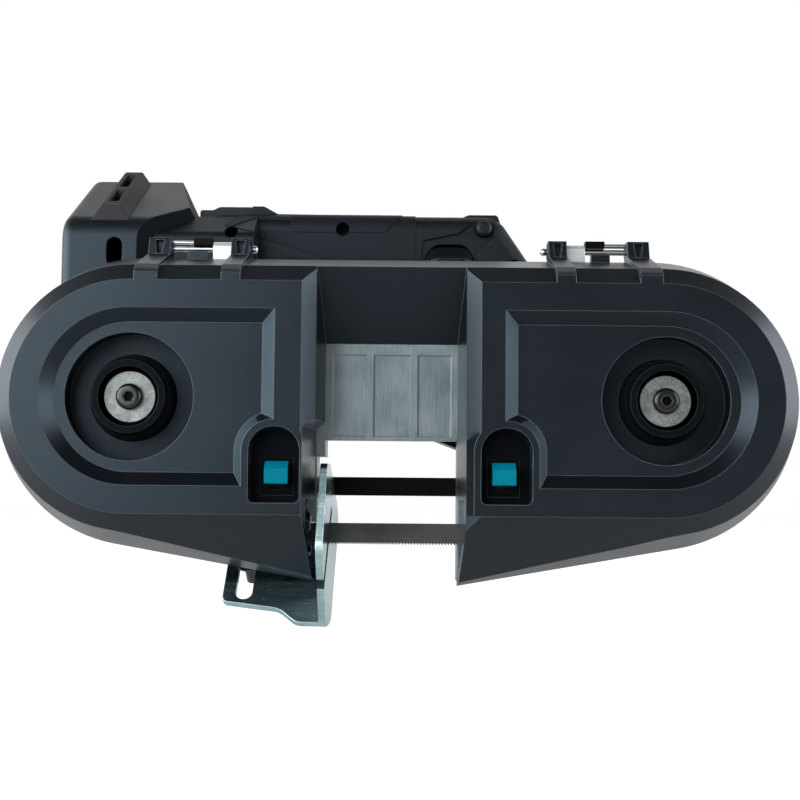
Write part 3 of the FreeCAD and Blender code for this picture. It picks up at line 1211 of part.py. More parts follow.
# Gears and motor
def gear_disc(teeth, width, centre, front, phase):
    """Spur gear with straight flanks, one tooth pointing along the phase angle."""
    pitch_radius = s.gear_module * teeth / 2
    tip_radius = pitch_radius + 0.8 * s.gear_module
    root_radius = pitch_radius - 1.1 * s.gear_module
    thick = math.pi * s.gear_module / 2 - s.backlash
    lean = math.tan(math.radians(20))
    tip_half = (thick / 2 - 0.8 * s.gear_module * lean) / tip_radius
    root_half = (thick / 2 + 1.1 * s.gear_module * lean) / root_radius
    points = []
    for index in range(int(teeth)):
        angle = math.radians(phase + 360.0 * index / teeth)
        for turn, radius in ((-root_half, root_radius), (-tip_half, tip_radius),
                             (tip_half, tip_radius), (root_half, root_radius)):
            points.append(Vector(centre.x + radius * math.cos(angle + turn), front,
                                 centre.z + radius * math.sin(angle + turn)))
    return Part.Face(Part.makePolygon(points + points[:1])).extrude(Vector(0, width, 0))


lay_reach = s.gear_module * (s.output_teeth + s.lay_pinion_teeth) / 2
motor_reach = s.gear_module * (s.lay_gear_teeth + s.motor_pinion_teeth) / 2
lay_turn = math.radians(s.lay_angle)
lay_axis = right_axis + Vector(lay_reach * math.cos(lay_turn), 0, lay_reach * math.sin(lay_turn))
motor_axis = lay_axis + Vector(motor_reach, 0, 0)
motor_front = gearcase_back + s.seat_gap
motor_back = motor_front + s.motor_length
tail_axis = Vector(s.gearcase_tail_x, 0, axis_z + s.gearcase_tail_rise)


def gearcase_outline(shrink, front, depth):
    """Long round outline of the gear housing, round the drive shaft and its far end."""
    big, small = s.gearcase_radius - shrink, s.gearcase_tail_radius - shrink
    way = tail_axis - right_axis
    heading = math.atan2(way.z, way.x)
    spread = math.acos((big - small) / way.Length)

    def spot(centre, radius, angle):
        return Vector(centre.x + radius * math.cos(angle), front, centre.z + radius * math.sin(angle))

    edges = [
        Part.Arc(spot(right_axis, big, heading + spread), spot(right_axis, big, heading + math.pi),
                 spot(right_axis, big, heading - spread)).toShape(),
        Part.LineSegment(spot(right_axis, big, heading - spread),
                         spot(tail_axis, small, heading - spread)).toShape(),
        Part.Arc(spot(tail_axis, small, heading - spread), spot(tail_axis, small, heading),
                 spot(tail_axis, small, heading + spread)).toShape(),
        Part.LineSegment(spot(tail_axis, small, heading + spread),
                         spot(right_axis, big, heading + spread)).toShape(),
    ]
    return Part.Face(Part.Wire(edges)).extrude(Vector(0, depth, 0))


def end_edges(solid, depth):
    """Edges of a solid that lie in one plane across the depth."""
    return [edge for edge in solid.Edges
            if edge.BoundBox.YLength < 1e-6 and abs(edge.BoundBox.YMin - depth) < 1e-4]


def build_gears():
    """Gear plate, gear housing, and the three turning gear pieces."""
    play = s.running_gap
    wide = gearcase_back + past
    plate = gearcase_outline(0.0, gear_plate_front, s.gear_plate_thickness)
    shaft_room = rod(s.shaft_radius + play, right_axis, depth_point(right_axis, wide))
    lay_bore = rod(s.lay_shaft_radius + play, lay_axis, depth_point(lay_axis, wide))
    feature("gear_plate", plate.cut(shaft_room).cut(lay_bore))
    case = gearcase_outline(0.0, gearcase_front, s.gearcase_depth)
    case = case.makeFillet(3.0, end_edges(case, gearcase_back))
    case = case.cut(gearcase_outline(s.gearcase_wall, gearcase_front - 1.0,
                                     s.gearcase_depth - s.gearcase_wall + 1.0))
    motor_hole = rod(s.lay_shaft_radius + play, motor_axis, depth_point(motor_axis, wide))
    lay_pocket = rod(s.lay_shaft_radius + play, lay_axis, depth_point(lay_axis, gearcase_back - 1.0))
    feature("gear_housing", case.cut(union([motor_hole, lay_pocket])))
    output = gear_disc(s.output_teeth, s.gear_width, right_axis, output_gear_front, s.lay_angle)
    bore = rod(s.shaft_radius + s.press_gap, right_axis, depth_point(right_axis, wide))
    feature("output_gear", output.cut(bore))
    pinion = gear_disc(s.lay_pinion_teeth, s.gear_width + 2.0, lay_axis, output_gear_front - 0.5,
                       s.lay_angle + 180.0 + 180.0 / s.lay_pinion_teeth)
    wheel = gear_disc(s.lay_gear_teeth, s.lay_gear_width, lay_axis, lay_gear_front, 0.0)
    shaft = rod(s.lay_shaft_radius, depth_point(lay_axis, gear_plate_front + 0.2),
                depth_point(lay_axis, gearcase_back - 1.2))
    feature("lay_gear", union([pinion, wheel, shaft]).removeSplitter())


def build_motor():
    """Motor housing with vents, stator, rotor with its pinion and fan, and two bearings."""
    wall = s.gearcase_wall
    front, back = depth_point(motor_axis, motor_front), depth_point(motor_axis, motor_back)
    case = rod(s.motor_radius, front, back)
    case = case.makeFillet(6.0, end_edges(case, motor_back))
    case = case.cut(rod(s.motor_radius - wall, front - Vector(0, 1, 0), back - Vector(0, wall, 0)))
    vents = []
    for index in range(14):
        slot = block((-s.vent_width / 2, motor_back - 22.0, 0.0),
                     (s.vent_width / 2, motor_back - 9.0, 2 * s.motor_radius))
        slot.rotate(Vector(), Vector(0, 1, 0), 360.0 / 14 * index)
        slot.translate(motor_axis)
        vents.append(slot)
    for index in range(5):
        low = motor_axis.z + (index - 2) * 3.4 * s.vent_width - s.vent_width / 2
        half = 0.55 * s.motor_radius
        vents.append(block((motor_axis.x - half, motor_back - 2 * wall, low),
                           (motor_axis.x + half, motor_back + 1.0, low + s.vent_width)))
    inner_back = motor_back - wall
    seat = rod(s.rotor_bearing_radius + 2.0, depth_point(motor_axis, inner_back - 8.0),
               depth_point(motor_axis, inner_back + 1.0))
    seat_bore = rod(s.rotor_bearing_radius + s.press_gap, depth_point(motor_axis, inner_back - 9.0),
                    depth_point(motor_axis, inner_back - 1.0))
    core = rod(s.rotor_bearing_radius + 1.9, depth_point(motor_axis, inner_back - 8.0),
               depth_point(motor_axis, motor_back))
    feature("motor_housing", case.cut(union(vents).cut(core)).fuse(seat).cut(seat_bore).removeSplitter())
    stator_front = motor_front + 14.0
    node(tube("stator_ring", "Sizes.motor_radius - Sizes.gearcase_wall - Sizes.running_gap",
              "Sizes.rotor_radius + Sizes.air_gap", "Sizes.stator_length", depth_point(motor_axis,
                                                                                       stator_front)),
         "stator")
    shaft_front = lay_gear_front - 1.0
    shaft = cylinder("rotor_shaft", "Sizes.lay_shaft_radius", f"{inner_back - 1.2 - shaft_front}",
                     depth_point(motor_axis, shaft_front))
    magnet = cylinder("rotor_magnet", "Sizes.rotor_radius", "Sizes.stator_length - 2",
                      depth_point(motor_axis, stator_front + 1.0))
    node(fuse("rotor_solid", shaft, magnet), "rotor")
    snug = rod(s.lay_shaft_radius + s.press_gap, motor_axis, depth_point(motor_axis, motor_back))
    pinion = gear_disc(s.motor_pinion_teeth, s.lay_gear_width, motor_axis, lay_gear_front,
                       180.0 + 180.0 / s.motor_pinion_teeth)
    feature("motor_pinion", pinion.cut(snug))
    fan_front = motor_front + 6.0
    disc = rod(s.fan_radius, depth_point(motor_axis, fan_front), depth_point(motor_axis, fan_front + 1.2))
    nave = rod(7.0, depth_point(motor_axis, fan_front),
               depth_point(motor_axis, fan_front + s.fan_thickness))
    blades = []
    for index in range(11):
        blade = block((-0.6, fan_front, 6.0), (0.6, fan_front + s.fan_thickness, s.fan_radius - 0.4))
        blade.rotate(Vector(), Vector(0, 1, 0), 360.0 / 11 * index)
        blade.translate(motor_axis)
        blades.append(blade)
    feature("motor_fan", union([disc, nave] + blades).cut(snug).removeSplitter())
    node(tube("rotor_bearing_ring", "Sizes.rotor_bearing_radius",
              "Sizes.lay_shaft_radius + Sizes.running_gap",
              "Sizes.rotor_bearing_width", depth_point(motor_axis,
                                                       inner_back - 1.2 - s.rotor_bearing_width)),
         "rotor_bearing")


# Handle
block_right = -s.leg_left - s.part_gap
handle_back = s.handle_front + s.handle_depth
split_y = s.handle_front + s.handle_depth / 2
grip_low = s.handle_top - s.grip_height
trigger_way = Vector(0, math.sqrt(0.5), math.sqrt(0.5))
trigger_point = Vector(s.trigger_x, s.handle_front + 2.5, grip_low + s.trigger_level)
foot_front = frame_back + s.back_cover_thickness + s.seat_gap
handle_screws = [Vector(-s.leg_left + 20.6, 0, s.handle_top - 13.6), Vector(-31.4, 0, s.handle_top - 9.0),
                 Vector(s.nose_x + 9.0, 0, grip_low + 5.0)]


def handle_face(depth):
    """Outline of the handle: rear leg, grip, and a front leg that runs down to the motor."""
    inner_left = -s.leg_left + s.leg_width
    corners = [
        (-s.leg_left, s.leg_bottom, 12.0), (-s.leg_left, s.handle_top, 12.0),
        (s.nose_x, s.handle_top, 14.0), (s.nose_x + 19.0, s.handle_top - 28.0, 40.0),
        (motor_axis.x + 6.0, motor_axis.z + 8.0, 12.0), (motor_axis.x - 20.0, motor_axis.z - 8.0, 12.0),
        (s.nose_x - 6.0, grip_low, 18.0), (inner_left, grip_low, 18.0), (inner_left, s.leg_bottom, 12.0),
    ]
    return Part.Face(corner_wire(corners, at_y(depth)))


def handle_crests():
    """Raised runs along the handle's top: shoulder and collar over the rear leg, and the nose."""
    foot = s.handle_top - s.handle_round
    rear, collar, nose = -s.leg_left, s.handle_top + s.collar_rise, s.handle_top + s.nose_rise
    step = s.handle_top + s.shoulder_rise
    outlines = [
        [(rear, foot, 0), (rear, step, 1.5), (rear + 7.3, step, 1.0), (rear + 11.2, collar, 1.5),
         (rear + s.leg_width, collar, 4.0), (rear + s.leg_width + 9.0, s.handle_top - 1.0, 0),
         (rear + s.leg_width + 9.0, foot, 0)],
        [(s.nose_x - 22.0, foot, 0), (s.nose_x - 22.0, s.handle_top - 1.0, 0), (s.nose_x - 16.0, nose, 2.0),
         (s.nose_x, nose, 2.0), (s.nose_x + 4.0, foot, 0)],
    ]
    inset = s.handle_round - 1.0
    width = Vector(0, s.handle_depth - 2 * inset, 0)
    return [prism(outline, at_y(s.handle_front + inset), width) for outline in outlines]


def trigger_form(grow, start, end):
    """Block across the grip's lower front edge, along the trigger's travel."""
    half_x, half_z = s.trigger_width / 2 + grow, s.trigger_height / 2 + grow
    top, foot = s.trigger_arch + grow, 3.0
    corners = [(-half_x, -half_z, foot), (half_x, -half_z, foot), (half_x, half_z, top),
               (-half_x, half_z, top)]
    form = prism(corners, at_y(start), Vector(0, end - start, 0))
    form.rotate(Vector(), Vector(1, 0, 0), 45.0)
    form.translate(trigger_point)
    return form


def neck_form(inset):
    """Wedge before the handle that reaches to the battery block's slanted corner, or the hollow in it."""
    low, high = s.neck_low + inset, s.neck_top - inset
    front, back = s.neck_front + inset, s.handle_front + s.handle_wall
    corners = [(front, low, 2.0), (front, high, 6.0 - inset), (back, s.neck_back_top - inset, 0),
               (back, low, 0)]
    start = -s.leg_left - s.neck_reach
    width = s.neck_reach + s.neck_end - 2 * inset
    wedge = prism(corners, at_x(start + inset), Vector(width, 0, 0))
    slope = s.cheek_depth / s.cheek_width
    room = math.hypot(slope, 1.0) * (s.seat_gap + inset)
    edge = s.block_front - (block_right - s.cheek_width - start) * slope
    line = [(start, edge - room, 0), (start + 2 * s.neck_reach, edge - room + 2 * s.neck_reach * slope, 0),
            (start, edge + 2 * s.neck_reach * slope, 0)]
    behind = Part.Face(corner_wire(line, lambda point: Vector(point.x, point.y, 0)))
    left_only = block((start - past, 0, 0), (-s.leg_left, 2 * s.block_back, 2 * s.block_crown))
    return wedge.cut(behind.extrude(Vector(0, 0, 2 * s.block_crown)).common(left_only))


def trigger_hollow():
    """Shallow hollow in the handle's front, round the trigger and the lock-off button."""
    left = s.trigger_x - s.trigger_width / 2 - 2.0
    right = s.button_x + s.button_radius + 1.5
    bend = s.trigger_x + s.trigger_width / 2 + 2.0
    top = s.button_level + 2.6
    corners = [(left, grip_low - past, 0), (bend, grip_low - past, 0), (bend, grip_low + 12.0, 3.0),
               (right, s.button_level - 5.0, 3.0), (right, top, 2.0), (bend - 4.5, top, 2.0),
               (bend - 11.5, top - 5.2, 3.0), (left, top - 9.5, 3.0)]
    return prism(corners, at_y(s.handle_front - past), Vector(0, past + s.trigger_recess, 0))


def build_handle():
    """Two half shells with screw bosses, a trigger window and a hole for the lock-off button."""
    wall = s.handle_wall
    solid = handle_face(s.handle_front).extrude(Vector(0, s.handle_depth, 0))
    solid = solid.makeFillet(s.handle_round,
                             end_edges(solid, s.handle_front) + end_edges(solid, handle_back))
    inner = handle_face(s.handle_front + wall).makeOffset2D(-wall)
    hollow = inner.extrude(Vector(0, s.handle_depth - 2 * wall, 0))
    inset = 2.5
    foot = block((-s.leg_left + inset, foot_front, s.leg_bottom + 6.0),
                 (-s.leg_left + s.leg_width - inset, split_y - 4.0, s.leg_bottom + 70.0))
    foot_hollow = block((-s.leg_left + inset + wall, foot_front + wall, s.leg_bottom + 6.0 + wall),
                        (-s.leg_left + s.leg_width - inset - wall, split_y - 4.0,
                         s.leg_bottom + 70.0 - wall))
    keep_out = rod(s.motor_radius + s.seat_gap, depth_point(motor_axis, gearcase_back),
                   depth_point(motor_axis, 2 * motor_back))
    outside = solid.fuse(union([foot, neck_form(0.0)] + handle_crests()))
    shell = outside.cut(union([hollow, foot_hollow, neck_form(wall)])).cut(keep_out).cut(trigger_hollow())
    bosses, recesses, threads = [], [], []
    seat = s.handle_front + 10.0
    for spot in handle_screws:
        bosses.append(rod(s.screw_boss_radius, depth_point(spot, s.neck_front),
                          depth_point(spot, handle_back - wall / 2)))
        recesses.append(rod(s.screw_recess_radius, depth_point(spot, s.neck_front),
                            depth_point(spot, seat)))
        threads.append(rod(s.small_screw_radius + s.running_gap, depth_point(spot, seat - 1.0),
                           depth_point(spot, handle_back - 2 * wall)))
    shell = shell.fuse(union(bosses).common(outside)).cut(union(recesses + threads))
    button_spot = Vector(s.button_x, 0, s.button_level)
    button_hole = rod(s.button_radius + s.part_gap, depth_point(button_spot, s.handle_front - past),
                      depth_point(button_spot, s.handle_front + 2 * wall))
    window_end = s.trigger_stem - wall + s.trigger_travel + s.part_gap
    window = trigger_form(s.part_gap, -2 * s.trigger_reach, window_end)
    shell = shell.cut(button_hole).cut(window)
    wide = 2 * s.axis_span
    front_half = block((-wide, 0, -wide), (wide, split_y - s.seat_gap / 2, wide))
    rear_half = block((-wide, split_y + s.seat_gap / 2, -wide), (wide, 2 * motor_back, wide))
    feature("handle_front_shell", shell.common(front_half).removeSplitter())
    feature("handle_rear_shell", shell.common(rear_half).removeSplitter())
    lines = [(depth_point(spot, seat),
              depth_point(spot, handle_back - 2 * wall - 1.0)) for spot in handle_screws]
    screw_group("handle_screws", lines, 1.0)
    build_controls(wall)


def build_controls(wall):
    """Trigger with its spring, lock-off button, switch and control board."""
    form = trigger_form(0.0, -s.trigger_reach, s.trigger_stem - wall)
    front = [edge for edge in form.Edges
             if abs((edge.CenterOfMass - trigger_point).dot(trigger_way) + s.trigger_reach) < 1e-3]
    form = form.makeFillet(2.4, front)
    feature("trigger", form)
    start = trigger_point + trigger_way * (s.trigger_stem - wall)
    node(tube("trigger_spring_coil", "Sizes.trigger_spring_radius", "Sizes.trigger_spring_radius - 1",
              "Sizes.trigger_spring_length", start, Rotation(Vector(0, 0, 1),
                                                             trigger_way)), "trigger_spring")
    spot = Vector(s.button_x, 0, s.button_level)
    cap = rod(s.button_radius, depth_point(spot, s.handle_front - s.button_reach),
              depth_point(spot, s.handle_front + 2 * wall))
    cap = cap.makeFillet(2.4, end_edges(cap, s.handle_front - s.button_reach))
    collar = rod(s.button_radius + 0.6, depth_point(spot, s.handle_front + wall + s.part_gap),
                 depth_point(spot, s.handle_front + wall + 2.0))
    feature("lock_off_button", cap.fuse(collar).removeSplitter())
    reach = s.trigger_stem - wall + s.trigger_travel + s.trigger_height / 2
    switch_front = trigger_point.y + reach * math.sqrt(0.5) + s.part_gap
    half = s.switch_length / 2
    switch = block((s.trigger_x - half, switch_front, grip_low + wall + s.part_gap),
                   (s.trigger_x + half, handle_back - wall - s.seat_gap, s.handle_top - wall - s.part_gap))
    feature("switch_body", switch)
    board_x = -s.leg_left + s.leg_width / 2
    board_z = s.leg_bottom + s.board_foot
    half = s.board_width / 2
    board = block((board_x - half, split_y + s.part_gap, board_z),
                  (board_x + half, handle_back - wall - s.seat_gap, board_z + s.board_height))
    feature("control_board", board)


# Battery end
block_left = block_right - s.block_length
slot_middle_y = (s.block_front + s.block_back) / 2
slot_low = s.block_low + 8.0


def block_profile(shrink):
    """Side outline of the battery block, its top rising to the back."""
    low, front, back = s.block_low + shrink, s.block_front + shrink, s.block_back - shrink
    rise = shrink * 1.09
    return [(front, low, 8.0), (front, s.block_brow - rise, 16.0), (back, s.block_crown - rise, 4.0),
            (back, low, 8.0)]


def block_trims(grow):
    """Corners taken off the battery block: towards the handle in front, on top, and outside at the back."""
    wide = 2 * s.block_length
    right = block_right + 1.0
    brow, crown = s.block_brow - wide, s.block_crown + wide
    corner = (block_right - s.cheek_width - grow, s.block_front)
    slope = s.cheek_depth / s.cheek_width
    cheek = [(corner[0] - wide, corner[1] - wide * slope, 0), (right + wide, corner[1] - wide * slope, 0),
             (right + wide, corner[1] + (right + wide - corner[0]) * slope, 0)]
    plan = Part.Face(corner_wire(cheek, lambda point: Vector(point.x, point.y, brow)))
    top_x = block_right - s.shoulder_width - grow
    lean = s.shoulder_height / s.shoulder_width
    shoulder = [(top_x - wide, s.block_crown + wide * lean, 0),
                (right + wide, s.block_crown + wide * lean, 0),
                (right + wide, s.block_crown - (right + wide - top_x) * lean, 0)]
    side = prism(shoulder, at_y(s.block_front - wide), Vector(0, 4 * wide, 0))
    edge = block_left + grow
    wires = []
    for depth, inset, level in ((s.block_front, s.brow_inset, s.block_brow),
                                (s.block_back, s.crown_inset, s.block_crown)):
        low = level - s.crown_drop
        points = [Vector(edge - past, depth, low), Vector(edge - past, depth, level + past),
                  Vector(edge + inset, depth, level + past), Vector(edge, depth, low)]
        wires.append(Part.makePolygon(points + points[:1]))
    return [plan.extrude(Vector(0, 0, crown - brow)), side, ruled(wires)]


def block_top(depth):
    """Height of the battery block's sloping top at a depth."""
    share = (depth - s.block_front) / (s.block_back - s.block_front)
    return s.block_brow + (s.block_crown - s.block_brow) * share


def build_battery_block():
    """Hollow end block with the battery slot, its rails and an oval eyelet in front."""
    wall = s.block_wall
    solid = prism(block_profile(0.0), at_x(block_left), Vector(s.block_length, 0, 0))
    rims = [edge for edge in solid.Edges
            if edge.BoundBox.XLength < 1e-6 and abs(edge.BoundBox.XMin - block_left) < 1e-4]
    solid = solid.makeFillet(2 * s.block_wall, rims).cut(union(block_trims(0.0)))
    floor = block_left + s.battery_slot_depth
    room = Vector(s.block_length - s.battery_slot_depth - 2 * wall, 0, 0)
    inner = prism(block_profile(wall), at_x(floor + wall), room).cut(union(block_trims(1.4 * wall)))
    half = s.battery_slot_width / 2
    top = slot_low + s.battery_slot_height
    slot = block((block_left - 1.0, slot_middle_y - half, slot_low), (floor, slot_middle_y + half, top))
    rails = []
    rail_x = block_left + 2.0
    for way in (-1, 1):
        edge = slot_middle_y + way * half
        near, far = sorted((edge, edge - way * s.rail_size))
        rails.append(block((rail_x, near, slot_low), (rail_x + s.rail_size, far, top)))
    x = block_right - s.eyelet_x
    reach = (s.eyelet_height - s.eyelet_width) / 2
    ends = [Vector(x, s.block_front - 1.0, s.eyelet_level + way * reach) for way in (-1, 1)]
    eyelet = [rod(s.eyelet_width / 2, end, end + Vector(0, 2 * wall, 0)) for end in ends]
    eyelet.append(block((x - s.eyelet_width / 2, s.block_front - 1.0, s.eyelet_level - reach),
                        (x + s.eyelet_width / 2, s.block_front - 1.0 + 2 * wall, s.eyelet_level + reach)))
    body = solid.cut(union([inner, slot] + eyelet)).fuse(union(rails).common(solid))
    feature("battery_block", body.removeSplitter())
    return solid


def build_battery_end():
    """Battery block, the rubber bumper along its top, and the terminals in its slot."""
    solid = build_battery_block()
    middle = block_right - s.bumper_place
    base, top = s.bumper_base / 2, s.bumper_top / 2
    crest = s.bumper_height
    start = s.block_front + s.bumper_setback
    run = s.block_back - start - 10.0
    sink = 12.0
    foot = block_top(start)
    corners = [(middle - base, foot - sink, 0), (middle - base, foot, 0), (middle - top, foot + crest, 1.5),
               (middle + top, foot + crest, 1.5), (middle + base, foot, 0), (middle + base, foot - sink, 0)]
    climb = block_top(start + run) - foot
    ridge = prism(corners, at_y(start), Vector(0, run, climb))
    half_slot = s.bumper_slot / 2
    slots = []
    for share, length in ((0.12, 0.34), (0.54, 0.38)):
        first = start + share * run
        bed = block_top(first) + crest - s.bumper_slot_depth
        outline = [(middle - half_slot, bed, 0), (middle + half_slot, bed, 0),
                   (middle + half_slot, bed + sink, 0), (middle - half_slot, bed + sink, 0)]
        slots.append(prism(outline, at_y(first), Vector(0, length * run, length * climb)))
    feature("rubber_bumper", ridge.cut(union(slots)).cut(solid))
    floor = block_left + s.battery_slot_depth
    half_base, tab_pitch = 14.0, 8.0
    front = slot_middle_y - half_base
    plate = block((floor - 4.0, front, slot_low + 6.0),
                  (floor - s.seat_gap, front + 2 * half_base, slot_low + 22.0))
    tabs = []
    for step in range(3):
        tab_y = front + 5.5 + tab_pitch * step
        tabs.append(block((block_left + 1.0, tab_y, slot_low + 9.0),
                          (floor - 3.0, tab_y + 1.0, slot_low + 19.0)))
    feature("terminal_block", plate.fuse(union(tabs)))


def build_tension():
    """Idler carriage with its spring, and the lever with its cam shaft."""
    low = axis_z - s.carriage_height / 2
    slab = box("carriage_slab", "Sizes.carriage_length", "Sizes.carriage_depth", "Sizes.carriage_height",
               Vector(carriage_x, plate_back + s.part_gap, low))
    slab.setExpression("Width", "Sizes.carriage_depth - Sizes.part_gap")
    hole = cylinder("carriage_hole", "Sizes.shaft_radius + Sizes.press_gap", "Sizes.carriage_depth * 3",
                    depth_point(left_axis, plate_back - 1.0))
    node(cut("carriage_cut", slab, hole), "idler_carriage")
    spring_base = Vector(carriage_x + s.carriage_length + 0.05, plate_back + s.carriage_depth / 2, axis_z)
    node(tube("tension_spring_coil", "Sizes.spring_radius", "Sizes.spring_radius - 1",
              "Sizes.spring_length", spring_base, ALONG_X), "tension_spring")
    lever_front = frame_back + s.back_cover_thickness + s.part_gap
    half = s.lever_width / 2
    corners = [(lever_point.x - half, lever_point.z - half, 0.7 * half),
               (lever_point.x + s.lever_length, lever_point.z - 0.6 * half, 3.0),
               (lever_point.x + s.lever_length, lever_point.z + 0.6 * half, 3.0),
               (lever_point.x - half, lever_point.z + half, 0.7 * half)]
    arm = prism(corners, at_y(lever_front), Vector(0, s.lever_thickness, 0))
    bore = rod(s.lever_shaft_radius + s.press_gap, depth_point(lever_point, 0),
               depth_point(lever_point, lever_front + s.lever_thickness))
    feature("tension_lever", arm.cut(bore))
    cam_front = depth_point(lever_point, frame_back - s.part_gap - s.cam_width)
    shaft_length = ("Sizes.cam_width + 2 * Sizes.part_gap + Sizes.back_cover_thickness"
                    " + Sizes.lever_thickness")
    shaft = cylinder("cam_shaft_bar", "Sizes.lever_shaft_radius", shaft_length, cam_front)
    cam = cylinder("cam_disc", "Sizes.cam_radius", "Sizes.cam_width", cam_front + Vector(s.cam_throw, 0, 0))
    node(fuse("cam_shaft_solid", shaft, cam), "cam_shaft")


build_blade_cover()
build_latches()
build_hinges()
build_main_frame()
build_frame_fittings()
build_wheels()
build_saw_blade()
build_guides()
build_stopper()
build_gears()
build_motor()
build_handle()
build_battery_end()
build_tension()
doc.recompute()

whole = FreeCAD.BoundBox()
for thing in nodes:
    whole.add(thing.Shape.optimalBoundingBox())
to_origin = Vector(-whole.Center.x, -whole.Center.y, -whole.ZMin)
for thing in nodes:
    thing.Placement = Placement(to_origin, Rotation()) * thing.Placement
doc.recompute()

for thing in doc.Objects:
    if "Invalid" in thing.State or "Error" in thing.State:
        raise RuntimeError(f"{thing.Label} did not build: {thing.State}")
for thing in nodes:
    if thing.Shape.isNull() or not thing.Shape.isValid() or not thing.Shape.Solids:
        raise RuntimeError(f"{thing.Label} has no valid shape")

os.makedirs("parts", exist_ok=True)
for thing in nodes:
    thing.Shape.exportStep(f"parts/{thing.Label}.step")
print(f"{len(nodes)} pieces, moved by {to_origin}, box {whole}")
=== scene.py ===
"""Portable band saw: finishes, smoothed shells, small fittings, studio light and camera."""
import json
import logging
import math
from dataclasses import dataclass, field
from enum import Enum, IntEnum

import bpy
from mathutils import Matrix, Vector


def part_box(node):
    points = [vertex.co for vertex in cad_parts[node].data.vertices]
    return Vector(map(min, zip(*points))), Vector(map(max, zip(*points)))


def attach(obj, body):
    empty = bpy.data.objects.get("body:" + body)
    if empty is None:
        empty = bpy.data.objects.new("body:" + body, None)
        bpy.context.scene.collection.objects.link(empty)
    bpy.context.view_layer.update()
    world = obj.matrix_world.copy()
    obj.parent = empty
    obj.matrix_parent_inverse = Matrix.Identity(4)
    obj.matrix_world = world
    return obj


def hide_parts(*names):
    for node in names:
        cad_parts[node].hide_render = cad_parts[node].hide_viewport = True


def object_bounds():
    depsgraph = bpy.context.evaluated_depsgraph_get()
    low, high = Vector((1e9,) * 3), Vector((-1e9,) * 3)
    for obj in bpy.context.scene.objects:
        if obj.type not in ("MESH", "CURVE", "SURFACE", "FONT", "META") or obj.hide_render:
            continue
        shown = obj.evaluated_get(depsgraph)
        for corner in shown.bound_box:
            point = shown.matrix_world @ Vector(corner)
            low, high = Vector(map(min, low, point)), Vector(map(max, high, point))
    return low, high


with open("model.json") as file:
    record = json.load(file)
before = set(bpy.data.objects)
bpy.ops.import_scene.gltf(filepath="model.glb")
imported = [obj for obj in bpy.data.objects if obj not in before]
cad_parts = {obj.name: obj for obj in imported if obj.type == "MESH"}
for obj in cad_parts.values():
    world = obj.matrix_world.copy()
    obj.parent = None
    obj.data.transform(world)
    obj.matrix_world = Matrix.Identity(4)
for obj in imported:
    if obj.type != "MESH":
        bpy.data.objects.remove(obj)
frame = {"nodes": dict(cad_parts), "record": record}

log = logging.getLogger("band_saw")
CAD_BOX = [list(corner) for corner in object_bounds()]
MM = 0.001
MERGE_MM = 0.002
CREASE_DEG = 35.0
# Shares of a pattern at which a finish reaches its two colours, and the two ends of its gloss.
COLOUR_STOPS = (0.34, 0.66)
GLOSS_STOPS = (0.3, 0.7)
# Cosines between the flat and the rounded normal at which an edge starts to be drawn paler, and is fully
# paler: partly wear, partly a painted highlight on convex and hollow edges alike.
EDGE_WEAR_AND_HIGHLIGHT_TURN = (0.98, 0.8)
RELIEF_STRENGTH = 0.5


def srgb(code: str) -> tuple[float, float, float, float]:
    """Turn an sRGB hex colour into linear light.

    Args:
        code: Six hex digits.

    Returns:
        Linear red, green, blue and an alpha of one.
    """
    parts = [int(code[index:index + 2], 16) / 255 for index in (0, 2, 4)]
    linear = [part / 12.92 if part <= 0.04045 else ((part + 0.055) / 1.055) ** 2.4 for part in parts]
    return linear[0], linear[1], linear[2], 1.0


def node(tree: bpy.types.NodeTree, kind: str, settings: dict | None = None,
         links: dict | None = None) -> bpy.types.Node:
    """Add one shader node with its settings and links.

    Args:
        tree: Node tree of the material or world.
        kind: Blender's node type.
        settings: Node properties by name, or socket values by socket name or number.
        links: Output sockets by the name or number of the input that they feed.

    Returns:
        The new node.
    """
    made = tree.nodes.new(kind)
    for key, value in (settings or {}).items():
        if isinstance(key, str) and hasattr(made, key):
            setattr(made, key, value)
        else:
            made.inputs[key].default_value = value
    for key, output in (links or {}).items():
        tree.links.new(output, made.inputs[key])
    return made


class Grain(Enum):
    """How a surface was worked, as the stretch of its pattern along X, Y and Z."""

    MOULDED = (1.0, 1.0, 1.0)
    BRUSHED_UPRIGHT = (1.0, 1.0, 0.06)
    ROLLED = (0.06, 0.7, 0.7)
    GROUND = (0.03, 1.0, 1.0)
    WOUND = (1.0, 0.08, 1.0)


